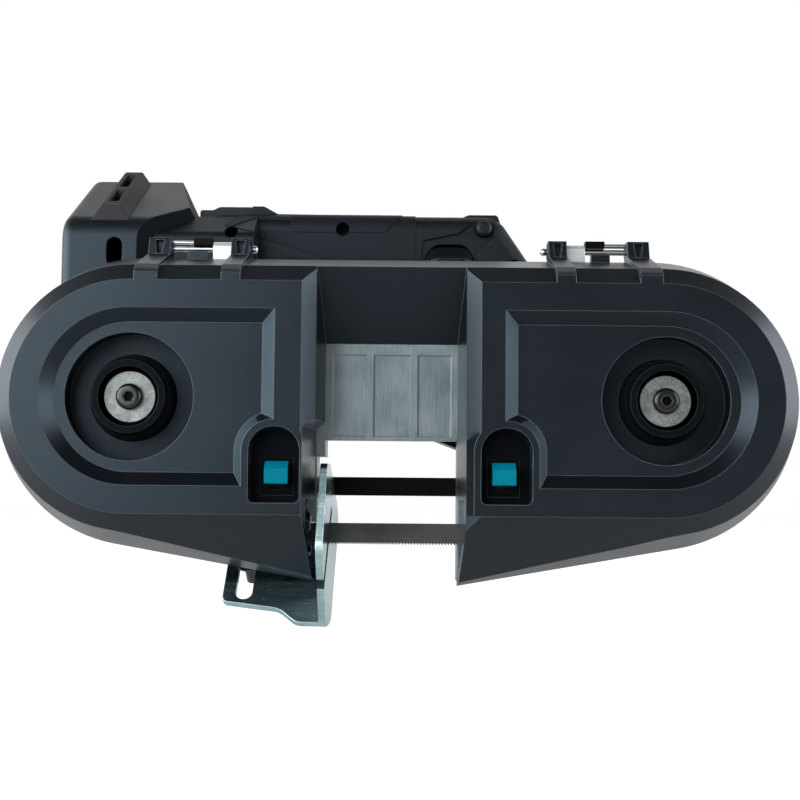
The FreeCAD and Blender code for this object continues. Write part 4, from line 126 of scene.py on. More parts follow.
@dataclass(frozen=True)
class Finish:
    """One finish of the saw, with its colours, gloss, surface pattern and paler edges, partly wear and partly
    a painted highlight.

    Pattern sizes are millimetres on the part. The photograph shows half a millimetre to the pixel, so
    grain that is finer in life is drawn at about one millimetre, to show at all.
    """

    name: str
    colour: str
    shade: str
    grain: Grain
    grain_mm: float
    roughness: float
    roughness_swing: float
    bump_mm: float
    metallic: float = 0.0
    specular: float = 0.5
    sheen: str = "FFFFFF"
    patch_mm: float = 30.0
    edge_mm: float = 0.5
    # Edges are drawn towards the edge colour: partly wear, partly a painted highlight.
    edge_colour: str = "3A4047"
    edge_wear_and_highlight: float = 0.0

    def material(self) -> bpy.types.Material:
        """Build the node material, or give the one already built.

        Returns:
            The material.
        """
        known = bpy.data.materials.get(self.name)
        if known:
            return known
        made = bpy.data.materials.new(self.name)
        made.use_nodes = True
        tree = made.node_tree
        shader = tree.nodes["Principled BSDF"]
        shader.inputs["Metallic"].default_value = self.metallic
        shader.inputs["Specular IOR Level"].default_value = self.specular
        shader.inputs["Specular Tint"].default_value = srgb(self.sheen)
        place = node(tree, "ShaderNodeTexCoord").outputs["Object"]
        lay = node(tree, "ShaderNodeMapping", {"Scale": self.grain.value}, {"Vector": place}).outputs[0]
        fine = node(tree, "ShaderNodeTexNoise", {"Scale": 1 / (self.grain_mm * MM), "Detail": 4.0,
                                                 "Roughness": 0.62}, {"Vector": lay}).outputs["Fac"]
        broad = node(tree, "ShaderNodeTexNoise", {"Scale": 1 / (self.patch_mm * MM), "Detail": 3.0},
                     {"Vector": place}).outputs["Fac"]
        half = node(tree, "ShaderNodeMath", {"operation": "MULTIPLY", 1: 0.5}, {0: fine}).outputs[0]
        share = node(tree, "ShaderNodeMath", {"operation": "MULTIPLY_ADD", 1: 0.5},
                     {0: broad, 2: half}).outputs[0]
        ramp = node(tree, "ShaderNodeValToRGB", links={"Fac": share})
        for stop, position, colour in zip(ramp.color_ramp.elements, COLOUR_STOPS, (self.shade, self.colour)):
            stop.position = position
            stop.color = srgb(colour)
        # Edges, convex and hollow alike, are mixed towards the edge colour: partly wear, partly a painted
        # highlight.
        rounded = node(tree, "ShaderNodeBevel", {"samples": 4, "Radius": self.edge_mm * MM}).outputs[0]
        flat = node(tree, "ShaderNodeNewGeometry").outputs["Normal"]
        turned = node(tree, "ShaderNodeVectorMath", {"operation": "DOT_PRODUCT"}, {0: rounded, 1: flat})
        edge_wear_and_highlight_share = node(tree, "ShaderNodeMapRange",
                    {"From Min": EDGE_WEAR_AND_HIGHLIGHT_TURN[0], "From Max": EDGE_WEAR_AND_HIGHLIGHT_TURN[1],
                     "To Min": 0.0, "To Max": self.edge_wear_and_highlight},
                    {"Value": turned.outputs["Value"]}).outputs["Result"]
        tint = node(tree, "ShaderNodeMix", {"data_type": "RGBA", 7: srgb(self.edge_colour)},
                    {0: edge_wear_and_highlight_share, 6: ramp.outputs["Color"]}).outputs[2]
        tree.links.new(tint, shader.inputs["Base Color"])
        low, high = self.roughness - self.roughness_swing, self.roughness + self.roughness_swing
        gloss = node(tree, "ShaderNodeMapRange",
                     {"From Min": GLOSS_STOPS[0], "From Max": GLOSS_STOPS[1], "To Min": low, "To Max": high},
                     {"Value": share})
        tree.links.new(gloss.outputs["Result"], shader.inputs["Roughness"])
        relief = node(tree, "ShaderNodeBump", {"Strength": RELIEF_STRENGTH, "Distance": self.bump_mm * MM},
                      {"Height": fine, "Normal": rounded})
        tree.links.new(relief.outputs["Normal"], shader.inputs["Normal"])
        return made


# Glass filled nylon, moulded in a spark eroded tool: a blue black satin that lifts at grazing light,
# with edges drawn paler, partly as polish from handling and partly as a painted highlight.
COVER_NYLON = Finish("moulded_black_nylon", "0D1014", "090B0E", Grain.MOULDED, 1.1, 0.34, 0.05, 0.03,
                     specular=0.42, sheen="CDE8FF", edge_mm=0.55, edge_colour="7F8C96", edge_wear_and_highlight=0.85)
# The cover's bowls: the same nylon, drawn darker and duller, as painted shade in the sunken bowls.
PAINTED_SHADE_BOWL_NYLON = Finish("painted_shade_bowl_nylon", "090A0D", "060709", Grain.MOULDED, 1.2, 0.52, 0.06, 0.05,
                    specular=0.32, sheen="CDE8FF", edge_mm=0.5, edge_colour="66717A", edge_wear_and_highlight=0.8)
# The latch pockets and the rings round the washers: the same nylon, drawn dull and nearly black, as painted
# shade in these hollows.
PAINTED_SHADE_POCKET_NYLON = Finish("painted_shade_pocket_nylon", "060708", "040405", Grain.MOULDED, 1.2, 0.62, 0.06, 0.05,
                      specular=0.08, sheen="CDE8FF", edge_mm=0.5, edge_colour="4A535A", edge_wear_and_highlight=0.7)
# The bevels of the cover's sunken panels: the same nylon, drawn paler as a painted highlight, for the light
# that they catch.
PAINTED_HIGHLIGHT_BEVEL_NYLON = Finish("painted_highlight_bevel_nylon", "34424A", "2B373E", Grain.MOULDED, 1.1, 0.34, 0.05, 0.03,
                     specular=0.42, sheen="CDE8FF", edge_mm=0.55, edge_colour="7F8C96", edge_wear_and_highlight=0.85)
# The same nylon in the battery end and the motor's housings: a little duller.
HOUSING_NYLON = Finish("housing_black_nylon", "0D0F13", "08090B", Grain.MOULDED, 1.2, 0.42, 0.05, 0.04,
                       specular=0.42, sheen="CDE8FF", edge_mm=0.8, edge_wear_and_highlight=0.35)
# Nylon of the handle's half shells: finely grained, without sharp highlights.
GRIP_NYLON = Finish("grained_grip_nylon", "0B0C0F", "07080A", Grain.MOULDED, 1.3, 0.48, 0.06, 0.07,
                    specular=0.34, sheen="D4E9FF", edge_mm=0.8, edge_wear_and_highlight=0.3)
# Elastomer moulded over the grip: coarser, dull, dusty where the hand doesn't rub.
GRIP_ELASTOMER = Finish("overmoulded_grip_elastomer", "111317", "090A0C", Grain.MOULDED, 1.5, 0.58, 0.07,
                        0.16, specular=0.30, sheen="D4E9FF", edge_mm=0.3, edge_wear_and_highlight=0.2)
# Natural rubber bumper and tires: nearly black and dull, with broad dusty patches.
BLACK_RUBBER = Finish("moulded_black_rubber", "1A1C1F", "101113", Grain.MOULDED, 1.6, 0.62, 0.08, 0.10,
                      specular=0.32, edge_mm=0.9, edge_wear_and_highlight=0.3)
# Dyed ABS latches: an even blue green with a soft sheen.
TEAL_ABS = Finish("dyed_teal_abs", "02768A", "026D81", Grain.MOULDED, 1.6, 0.46, 0.05, 0.02, specular=0.04,
                  edge_mm=0.4, edge_colour="2FA6B8", edge_wear_and_highlight=0.4)
# Die cast aluminium, brushed upright across the web: silver with short streaks and a bluish grey cast.
CAST_ALUMINIUM = Finish("brushed_cast_aluminium", "8F9B9F", "6C7A80", Grain.BRUSHED_UPRIGHT, 0.9, 0.42, 0.10,
                        0.03, metallic=1.0, patch_mm=16.0, edge_mm=0.5, edge_colour="D5DCDE", edge_wear_and_highlight=0.5)
# The same casting where the hinge lugs were machined: bright silver, drawn nearly white, partly the machined
# metal and partly a painted reflection of the white backdrop.
MACHINED_AND_LIT_ALUMINIUM = Finish("machined_aluminium_with_painted_reflection", "E4E8EA", "C9D0D3", Grain.GROUND, 1.0, 0.36, 0.06, 0.01,
                            metallic=0.6, edge_mm=0.4, edge_colour="F2F4F5", edge_wear_and_highlight=0.5)
# Bright zinc plating on rolled steel: bluish silver with fine rolling lines.
ZINC_STEEL = Finish("zinc_plated_steel", "B6CFD3", "8CACB1", Grain.ROLLED, 0.9, 0.24, 0.07, 0.012,
                    metallic=1.0, patch_mm=14.0, edge_mm=0.6, edge_colour="E6F0F1", edge_wear_and_highlight=0.7)
# Ground spring steel of the saw band: dark grey with long grinding lines.
BAND_STEEL = Finish("ground_spring_steel", "5C5D5F", "454648", Grain.GROUND, 0.8, 0.44, 0.08, 0.02,
                    metallic=0.25, patch_mm=20.0, edge_mm=0.1, edge_colour="8A8A8C", edge_wear_and_highlight=0.4)
# Tumbled steel washers: pale grey, speckled by the tumbling stones.
WASHER_STEEL = Finish("tumbled_washer_steel", "969D9B", "626867", Grain.MOULDED, 1.0, 0.50, 0.08, 0.05,
                      metallic=0.7, patch_mm=4.0, edge_mm=0.3, edge_colour="C4C8C6", edge_wear_and_highlight=0.5)
# Polished steel of the hinge pins, rods and rollers: bright, with hardly any pattern.
BRIGHT_STEEL = Finish("polished_hinge_steel", "DADEE1", "BCC2C7", Grain.MOULDED, 1.0, 0.16, 0.05, 0.005,
                      metallic=1.0, edge_mm=0.3, edge_colour="F0F2F4", edge_wear_and_highlight=0.4)
# Black oxide on alloy steel screws: blue black with a low gloss and bright edges, partly rubbed and partly a
# painted highlight.
BLACK_OXIDE = Finish("black_oxide_steel", "101114", "08080A", Grain.MOULDED, 1.0, 0.22, 0.05, 0.01,
                     specular=0.5, edge_mm=0.3, edge_colour="7A8085", edge_wear_and_highlight=0.8)
# Inside of a screw's socket: drawn black and dull, as painted shade in the hollow.
PAINTED_SHADE_SOCKET_STEEL = Finish("painted_shade_socket_steel", "060607", "030303", Grain.MOULDED, 1.0, 0.60, 0.06, 0.01,
                      specular=0.08, edge_mm=0.1)
# Baked black enamel on the guard bar, the gear plate and some screws: even and half glossy.
BLACK_ENAMEL = Finish("baked_black_enamel", "0A0B0C", "060707", Grain.MOULDED, 2.0, 0.34, 0.05, 0.02,
                      specular=0.06, edge_mm=0.5, edge_wear_and_highlight=0.3)
# Hobbed and oiled gear steel: mid grey, glossy with oil.
GEAR_STEEL = Finish("oiled_gear_steel", "77797B", "565859", Grain.MOULDED, 1.0, 0.30, 0.07, 0.01,
                    metallic=1.0, edge_mm=0.2)
# Varnished copper winding of the motor: warm brown, with wound streaks.
COPPER_WINDING = Finish("varnished_copper", "9A5B2E", "6E3D1C", Grain.WOUND, 0.7, 0.34, 0.08, 0.05,
                        metallic=0.8, edge_mm=0.3)


def deselect() -> None:
    """Leave nothing selected."""
    bpy.ops.object.select_all(action="DESELECT")


def make_active(piece: bpy.types.Object) -> None:
    """Select one object alone and make it active.

    Args:
        piece: The object.
    """
    deselect()
    piece.select_set(True)
    bpy.context.view_layer.objects.active = piece


def dress(piece: bpy.types.Object, finish: Finish) -> None:
    """Give a piece one finish all over."""
    piece.data.materials.clear()
    piece.data.materials.append(finish.material())


def apply_all(piece: bpy.types.Object) -> None:
    """Apply every modifier of a piece, in their order.

    Args:
        piece: The piece.
    """
    make_active(piece)
    for name in [modifier.name for modifier in piece.modifiers]:
        bpy.ops.object.modifier_apply(modifier=name)


def settle(piece: bpy.types.Object, name: str, body: str, finish: Finish) -> bpy.types.Object:
    """Name a finished piece, put its place into its mesh, dress it and let it ride.

    Args:
        piece: The finished piece.
        name: Its name.
        body: The body that it moves with.
        finish: Its finish.

    Returns:
        The same piece.
    """
    make_active(piece)
    bpy.ops.object.transform_apply(location=True, rotation=True, scale=True)
    bpy.ops.object.shade_smooth_by_angle(angle=math.radians(CREASE_DEG))
    piece.name = name
    dress(piece, finish)
    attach(piece, body)
    log.info("%s: %d faces", name, len(piece.data.polygons))
    return piece


def body_of(node_name: str) -> str:
    """Name of the body that carries a solid."""
    bodies = frame["record"]["behaviour"]["bodies"]
    return next(body for body, names in bodies.items() if node_name in names)


def merged_copy(node_name: str, name: str) -> bpy.types.Object:
    """Copy a solid's mesh into a new object with its triangles joined.

    Args:
        node_name: The solid.
        name: Name of the copy.

    Returns:
        The copy, active and selected.
    """
    copy = bpy.data.objects.new(name, frame["nodes"][node_name].data.copy())
    bpy.context.scene.collection.objects.link(copy)
    make_active(copy)
    bpy.ops.mesh.customdata_custom_splitnormals_clear()
    bpy.ops.object.mode_set(mode="EDIT")
    bpy.ops.mesh.select_all(action="SELECT")
    bpy.ops.mesh.remove_doubles(threshold=MERGE_MM * MM)
    bpy.ops.object.mode_set(mode="OBJECT")
    return copy


@dataclass
class SubAssembly:
    """Solids that share a maker's name, each with its finish; curved ones get a smoothed copy."""

    name: str
    finishes: dict[str, Finish]
    smoothed: tuple[str, ...] = ()
    smooth_angle: float = 28.0

    def dress_solids(self) -> None:
        """Dress the solids of the sub-assembly, and smooth those that are listed."""
        for solid, finish in self.finishes.items():
            if solid in self.smoothed:
                self.smooth(solid, finish)
            else:
                dress(frame["nodes"][solid], finish)
            log.info("%s: %s is %s", self.name, solid, finish.name)

    def smooth(self, solid: str, finish: Finish) -> None:
        """Stand a copy with even curves in a solid's place.

        Args:
            solid: The solid's node.
            finish: Its finish.
        """
        copy = merged_copy(solid, solid + "_smooth")
        bpy.ops.object.shade_smooth_by_angle(angle=math.radians(self.smooth_angle))
        even = copy.modifiers.new("even", "WEIGHTED_NORMAL")
        even.keep_sharp = True
        apply_all(copy)
        dress(copy, finish)
        self.finish_copy(solid, copy)
        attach(copy, body_of(solid))
        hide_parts(solid)

    def finish_copy(self, solid: str, copy: bpy.types.Object) -> None:
        """Add to a smoothed copy; most need nothing more.

        Args:
            solid: The solid's node.
            copy: The copy in its place.
        """

    def build(self) -> None:
        """Dress the solids and add the sub-assembly's own pieces."""
        self.dress_solids()


class CoverField(IntEnum):
    """Fields of the cover with a finish of their own, numbered as in its list of materials."""

    FACE = 0
    BOWL = 1
    POCKET = 2
    BEVEL = 3


@dataclass
class BladeCover(SubAssembly):
    """Cover with its latches and hinges; bowls, rings and latch pockets are drawn darker as painted shade,
    and the panels' bevels paler as a painted highlight.
    """

    bowl_mm: float = 31.6
    bowl_from_mm: float = 7.0
    ring_mm: float = 19.0
    pocket_mm: tuple[float, float] = (12.6, 19.0)
    pocket_from_mm: float = 1.2
    bevel_mm: float = 6.4
    bevel_within_mm: float = 80.0
    bevel_lean: float = 0.4

    def finish_copy(self, solid: str, copy: bpy.types.Object) -> None:
        """Give the sunken fields of the cover their own finish: painted shade in the bowls, rings and
        pockets, a painted highlight on the panels' bevels.

        Args:
            solid: The solid's node.
            copy: The copy in its place.
        """
        if solid != "blade_cover":
            return
        for finish in (PAINTED_SHADE_BOWL_NYLON, PAINTED_SHADE_POCKET_NYLON, PAINTED_HIGHLIGHT_BEVEL_NYLON):
            copy.data.materials.append(finish.material())
        hubs = [self.middle(name) for name in ("idler_washer", "drive_washer")]
        latches = [self.middle(name) for name in ("cover_latch_left", "cover_latch_right")]
        for face in copy.data.polygons:
            face.material_index = int(self.field_of(face, hubs, latches))

    def field_of(self, face: bpy.types.MeshPolygon, hubs: list[Vector], latches: list[Vector]) -> CoverField:
        """Find the field of the cover that a face belongs to.

        Args:
            face: The face.
            hubs: Middles of the wheels' washers.
            latches: Middles of the latches.

        Returns:
            The field.
        """
        spot = face.center
        depth = (spot.y - CAD_BOX[0][1]) / MM
        half_x, half_z = self.pocket_mm[0] * MM, self.pocket_mm[1] * MM
        from_hub = min(math.hypot(spot.x - hub.x, spot.z - hub.z) for hub in hubs)
        pocket = any(abs(spot.x - latch.x) < half_x and abs(spot.z - latch.z) < half_z for latch in latches)
        # Rings and latch pockets take the nearly black nylon and the bowls the darker nylon, as painted
        # shade; the bevels take the paler nylon, as a painted highlight.
        if from_hub < self.ring_mm * MM or (pocket and depth > self.pocket_from_mm):
            return CoverField.POCKET
        if from_hub < self.bowl_mm * MM and depth > self.bowl_from_mm:
            return CoverField.BOWL
        near = depth < self.bevel_mm and abs(spot.x) < self.bevel_within_mm * MM
        outward = face.normal.x * math.copysign(1.0, spot.x)
        if near and outward > self.bevel_lean and face.normal.y < -self.bevel_lean:
            return CoverField.BEVEL
        return CoverField.FACE

    def middle(self, solid: str) -> Vector:
        """Middle of a solid's box.

        Args:
            solid: The solid's node.

        Returns:
            The point in metres.
        """
        low, high = (Vector(corner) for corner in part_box(solid))
        return (low + high) / 2


@dataclass
class CastFrame(SubAssembly):
    """Casting and what is fastened to it; its hinge lugs are machined, and drawn bright partly as a painted
    reflection.
    """

    lug_from_mm: float = 182.5

    def finish_copy(self, solid: str, copy: bpy.types.Object) -> None:
        """Give the hinge lugs of the casting their own finish, bright partly as a painted reflection.

        Args:
            solid: The solid's node.
            copy: The copy in its place.
        """
        if solid == "main_frame":
            copy.data.materials.append(MACHINED_AND_LIT_ALUMINIUM.material())
            for face in copy.data.polygons:
                face.material_index = 1 if face.center.z > self.lug_from_mm * MM else 0


@dataclass
class BatteryEnd(SubAssembly):
    """Battery block with its bumper; the slanted corner beside the handle is drawn darker, as painted shade.
    """

    side_lean: float = 0.5

    def finish_copy(self, solid: str, copy: bpy.types.Object) -> None:
        """Give the slanted faces of the block towards the handle the nearly black pocket nylon, as painted
        shade.

        Args:
            solid: The solid's node.
            copy: The copy in its place.
        """
        if solid == "battery_block":
            copy.data.materials.append(PAINTED_SHADE_POCKET_NYLON.material())
            for face in copy.data.polygons:
                face.material_index = 1 if face.normal.x > self.side_lean else 0


@dataclass
class HexDrive:
    """Insert with a six sided socket, for the round hole of a screw's head."""

    name: str
    body: str
    centre: Vector
    facing: Vector
    radius_mm: float
    depth_mm: float
    insert_share: float = 0.985
    hexagon_share: float = 0.82
    cut_share: float = 0.8
    cutter_share: float = 4.0
    chamfer_share: float = 0.08
    chamfer_deg: float = 70.0
    mouth_share: float = 0.12

    def build(self) -> bpy.types.Object:
        """Model the insert: a disc, a hexagon cut into it, and a small chamfer.

        Returns:
            The finished piece.
        """
        turn = self.facing.to_track_quat("Z", "X").to_euler()
        radius, depth = self.radius_mm * MM, self.depth_mm * MM
        middle = self.centre - self.facing * (depth / 2)
        cutter_depth = self.cutter_share * depth
        deselect()
        bpy.ops.mesh.primitive_cylinder_add(vertices=6, radius=self.hexagon_share * radius,
                                            depth=cutter_depth, location=middle, rotation=turn)
        cutter = bpy.context.active_object
        cutter.location = self.centre + self.facing * (cutter_depth / 2 - self.cut_share * depth)
        deselect()
        bpy.ops.mesh.primitive_cylinder_add(vertices=36, radius=self.insert_share * radius, depth=depth,
                                            location=middle, rotation=turn)
        piece = bpy.context.active_object
        cut = piece.modifiers.new("socket", "BOOLEAN")
        cut.object = cutter
        cut.solver = "EXACT"
        chamfer = piece.modifiers.new("chamfer", "BEVEL")
        chamfer.width = self.chamfer_share * radius
        chamfer.limit_method = "ANGLE"
        chamfer.angle_limit = math.radians(self.chamfer_deg)
        apply_all(piece)
        bpy.data.objects.remove(cutter)
        settle(piece, self.name, self.body, BLACK_OXIDE)
        # Faces deeper than the socket's mouth take the black socket finish, as painted shade inside the
        # socket.
        piece.data.materials.append(PAINTED_SHADE_SOCKET_STEEL.material())
        for face in piece.data.polygons:
            if (self.centre - face.center).dot(self.facing) > self.mouth_share * depth:
                face.material_index = 1
        return piece


@dataclass
class WheelEnds(SubAssembly):
    """Washers and screws in the middle of both wheels, with a hexagon socket in each head."""

    socket_radius_mm: float = 3.0
    socket_depth_mm: float = 2.6
    socket_sink_mm: float = 0.25

    def build(self) -> None:
        """Dress the washers and screws, and model the sockets."""
        self.dress_solids()
        for side in ("idler", "drive"):
            screw = f"{side}_wheel_screw"
            low, high = (Vector(corner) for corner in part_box(screw))
            front = Vector(((low.x + high.x) / 2, low.y + self.socket_sink_mm * MM, (low.z + high.z) / 2))
            HexDrive(f"{side}_screw_socket", body_of(screw), front, Vector((0, -1, 0)),
                     self.socket_radius_mm, self.socket_depth_mm).build()


@dataclass
class GripSkin(SubAssembly):
    """Handle shells with an elastomer skin moulded over the grip.

    Places are millimetres in the part's frame. The skin runs from a slanted edge at the rear collar to the
    trigger, and a second, smaller layer lies over the top of the grip.
    """

    rear_mm: tuple[float, float] = (-95.9, 211.5)
    rear_upper: tuple[float, float, float] = (-1.0, 0.0, 1.0)
    rear_lower: tuple[float, float, float] = (-0.28, 0.0, -0.96)
    middle_mm: float = 203.5
    foot_mm: float = 190.5
    top_mm: float = 220.4
    core_mm: float = 14.5
    trigger_mm: float = 9.0
    panel_rear_mm: float = -60.0
    panel_front_mm: float = 1.5
    panel_low_mm: float = 209.6
    panel_slant: tuple[float, float, float] = (1.0, 0.0, -0.9)
    outward_from: float = 0.25
    end_from: float = 0.8
    skin_mm: float = 0.45

    def cut_away(self, piece: bpy.types.Object, point: Vector, outward: Vector) -> None:
        """Cut a piece by a plane and drop what lies on the plane's outer side.

        Args:
            piece: The piece.
            point: A point of the plane.
            outward: The direction of what is dropped.
        """
        make_active(piece)
        bpy.ops.object.mode_set(mode="EDIT")
        bpy.ops.mesh.select_all(action="SELECT")
        bpy.ops.mesh.bisect(plane_co=point, plane_no=outward, clear_outer=True)
        bpy.ops.object.mode_set(mode="OBJECT")

    def keep_outside(self, piece: bpy.types.Object, axis: Vector) -> None:
        """Delete the faces that look inwards or along the grip.

        Args:
            piece: The piece.
            axis: A point on the grip's middle line.
        """
        make_active(piece)
        bpy.ops.object.mode_set(mode="EDIT")
        bpy.ops.mesh.select_all(action="DESELECT")
        bpy.ops.object.mode_set(mode="OBJECT")
        for face in piece.data.polygons:
            away = face.center - axis
            away.x = 0.0
            inward = face.normal.dot(away.normalized()) < self.outward_from or away.length < self.core_mm * MM
            face.select = inward or abs(face.normal.x) > self.end_from
        bpy.ops.object.mode_set(mode="EDIT")
        bpy.ops.mesh.delete(type="FACE")
        bpy.ops.object.mode_set(mode="OBJECT")

    def layer(self, shell: str, name: str, planes: list[tuple[Vector, Vector]], thick_mm: float) -> None:
        """Model one layer of the skin over one half shell.

        Args:
            shell: The half shell's node.
            name: Name of the layer.
            planes: A point and outward direction of each plane that bounds it.
            thick_mm: Its thickness.
        """
        piece = merged_copy(shell, name)
        for point, outward in planes:
            self.cut_away(piece, point, outward)
        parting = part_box("handle_front_shell")[1][1]
        self.keep_outside(piece, Vector((0, parting, self.middle_mm * MM)))
        thick = piece.modifiers.new("thick", "SOLIDIFY")
        thick.thickness = thick_mm * MM
        thick.offset = 1.0
        thick.use_even_offset = True
        apply_all(piece)
        settle(piece, name, body_of(shell), GRIP_ELASTOMER)

    def build(self) -> None:
        """Dress the handle, and lay the skin over both half shells."""
        self.dress_solids()
        tip = Vector((self.rear_mm[0] * MM, 0, self.rear_mm[1] * MM))
        sleeve = [(tip, Vector(self.rear_upper).normalized()), (tip, Vector(self.rear_lower).normalized()),
                  (Vector((self.trigger_mm * MM, 0, 0)), Vector((1, 0, 0))),
                  (Vector((0, 0, self.foot_mm * MM)), Vector((0, 0, -1)))]
        panel = [(Vector((self.panel_rear_mm * MM, 0, 0)), Vector((-1, 0, 0))),
                 (Vector((self.panel_front_mm * MM, 0, self.top_mm * MM)),
                  Vector(self.panel_slant).normalized()),
                 (Vector((0, 0, self.panel_low_mm * MM)), Vector((0, 0, -1)))]
        for half in ("front", "rear"):
            self.layer(f"handle_{half}_shell", f"grip_sleeve_{half}", sleeve, self.skin_mm)
            self.layer(f"handle_{half}_shell", f"grip_panel_{half}", panel, 2 * self.skin_mm)


@dataclass
class GuideRollers(SubAssembly):
    """Guide rollers, each with a pressed shield on its lower face as a ball bearing has."""

    tilt_deg: float = 40.0
    shield_mm: float = 6.4
    bore_mm: float = 3.6
    face_mm: float = 3.0
    flat_share: float = 0.12

    def shield(self, roller: str) -> None:
        """Model the shield of one roller.

        Args:
            roller: The roller's node.
        """
        low, high = (Vector(corner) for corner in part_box(roller))
        up = Vector((0, math.sin(math.radians(self.tilt_deg)), math.cos(math.radians(self.tilt_deg))))
        face = (low + high) / 2 - up * (self.face_mm * MM)
        deselect()
        bpy.ops.mesh.primitive_torus_add(major_segments=40, minor_segments=6, location=face,
                                         rotation=up.to_track_quat("Z", "X").to_euler(),
                                         major_radius=(self.shield_mm + self.bore_mm) / 2 * MM,
                                         minor_radius=(self.shield_mm - self.bore_mm) / 2 * MM)
        piece = bpy.context.active_object
        bpy.ops.object.mode_set(mode="EDIT")
        bpy.ops.mesh.select_all(action="SELECT")
        bpy.ops.transform.resize(value=(1.0, 1.0, self.flat_share), orient_type="LOCAL", center_override=face)
        bpy.ops.object.mode_set(mode="OBJECT")
        settle(piece, roller + "_shield", body_of(roller), GEAR_STEEL)

    def build(self) -> None:
        """Dress the rollers and model their shields."""
        self.dress_solids()
        for roller in self.finishes:
            if roller.startswith("guide_roller"):
                self.shield(roller)


@dataclass
class Studio:
    """Floor, light and camera as in the photograph."""

    lens_mm: float = 60.65
    distance_mm: float = 640.0
    eye_height_mm: float = 67.0
    aim_height_mm: float = 110.0
    eye_x_mm: float = 1.2
    roll_deg: float = 0.5
    floor_m: float = 8.0
    floor_seen: float = 0.82
    floor_mirrored: float = 0.4
    room: tuple[tuple[float, float], ...] = (
        (0.0, 0.36), (0.12, 0.34), (0.33, 0.04), (0.60, 0.05), (0.80, 1.0))
    lamps: dict[str, tuple] = field(default_factory=lambda: {
        "box_left": ((-1.15, -0.25, 0.25), 1.2, 5.6),
        "box_right": ((1.15, -0.25, 0.25), 1.2, 4.9),
        "panel_front": ((-0.85, -1.20, 0.55), 1.2, 4.3),
    })

    def floor(self) -> None:
        """Paper floor that the camera sees as white, down to the soft shadow under the saw."""
        deselect()
        bpy.ops.mesh.primitive_plane_add(size=self.floor_m, location=(0, 0, 0))
        floor = bpy.context.active_object
        floor.name = "studio_floor"
        made = bpy.data.materials.new("white_paper_floor")
        made.use_nodes = True
        tree = made.node_tree
        shader = tree.nodes["Principled BSDF"]
        shader.inputs["Base Color"].default_value = srgb("A8A8A8")
        shader.inputs["Roughness"].default_value = 0.95
        shader.inputs["Specular IOR Level"].default_value = 0.1
        path = node(tree, "ShaderNodeLightPath")
        mirrored = node(tree, "ShaderNodeMath", {"operation": "MULTIPLY", 1: self.floor_mirrored},
                        {0: path.outputs["Is Glossy Ray"]})
        lift = node(tree, "ShaderNodeMath", {"operation": "MULTIPLY_ADD", 1: self.floor_seen},
                    {0: path.outputs["Is Camera Ray"], 2: mirrored.outputs[0]})
        glow = node(tree, "ShaderNodeEmission", {"Color": (1, 1, 1, 1)}, {"Strength": lift.outputs[0]})
        both = node(tree, "ShaderNodeAddShader", links={0: shader.outputs[0], 1: glow.outputs[0]})
        tree.links.new(both.outputs[0], tree.nodes["Material Output"].inputs["Surface"])
        floor.data.materials.append(made)

    def world(self) -> None:
        """White backdrop behind the saw, darker room before it and above it."""
        world = bpy.data.worlds.new("studio_world")
        bpy.context.scene.world = world
        world.use_nodes = True
        tree = world.node_tree
        tree.nodes.clear()
        path = node(tree, "ShaderNodeLightPath")
        way = node(tree, "ShaderNodeTexCoord").outputs["Generated"]
        depth = node(tree, "ShaderNodeSeparateXYZ", links={"Vector": way}).outputs["Y"]
        share = node(tree, "ShaderNodeMath", {"operation": "MULTIPLY_ADD", 1: 0.5, 2: 0.5}, {0: depth})
        room = node(tree, "ShaderNodeValToRGB", links={"Fac": share.outputs[0]})
        stops = room.color_ramp.elements
        for position, _ in self.room[1:-1]:
            stops.new(position)
        for stop, (position, level) in zip(stops, self.room):
            stop.position = position
            stop.color = (level, level, level, 1.0)
        lit = node(tree, "ShaderNodeMath", {"operation": "MAXIMUM"},
                   {0: room.outputs["Color"], 1: path.outputs["Is Camera Ray"]})
        light = node(tree, "ShaderNodeBackground", {"Color": (1.0, 1.0, 1.0, 1.0)},
                     {"Strength": lit.outputs[0]})
        node(tree, "ShaderNodeOutputWorld", links={"Surface": light.outputs[0]})

    def lamp(self, name: str, place: Vector, size: float, radiance: float) -> None:
        """Add one soft square lamp that faces the saw.

        Args:
            name: Name of the lamp.
            place: Its place in metres.
            size: Side of the square in metres.
            radiance: How bright its surface is, where white paper in full light is one.
        """
        light = bpy.data.lights.new(name, "AREA")
        light.size = size
        light.energy = radiance * math.pi * size ** 2
        lamp = bpy.data.objects.new(name, light)
        bpy.context.scene.collection.objects.link(lamp)
        lamp.location = place
        aim = Vector((0, 0, self.aim_height_mm * MM))
        lamp.rotation_euler = (aim - place).to_track_quat("-Z", "Y").to_euler()

    def camera(self) -> None:
        """Camera before the cover, a little below its middle, tilted up and rolled as in the photograph."""
        front = CAD_BOX[0][1]
        camera = bpy.data.cameras.new("photo_camera")
        camera.lens = self.lens_mm
        camera.sensor_width = 36.0
        camera.clip_start = 0.01
        eye = bpy.data.objects.new("photo_camera", camera)
        bpy.context.scene.collection.objects.link(eye)
        place = Vector((self.eye_x_mm * MM, front - self.distance_mm * MM, self.eye_height_mm * MM))
        aim = Vector((self.eye_x_mm * MM, front, self.aim_height_mm * MM))
        turn = (aim - place).to_track_quat("-Z", "Y").to_matrix().to_4x4()
        roll = Matrix.Rotation(math.radians(self.roll_deg), 4, "Z")
        eye.matrix_world = Matrix.Translation(place) @ turn @ roll
        bpy.context.scene.camera = eye

    def build(self) -> None:
        """Set up floor, world, lamps and camera."""
        bpy.context.scene.view_settings.view_transform = "Standard"
        self.floor()
        self.world()
        for name, (place, size, radiance) in self.lamps.items():
            self.lamp(name, Vector(place), size, radiance)
        self.camera()


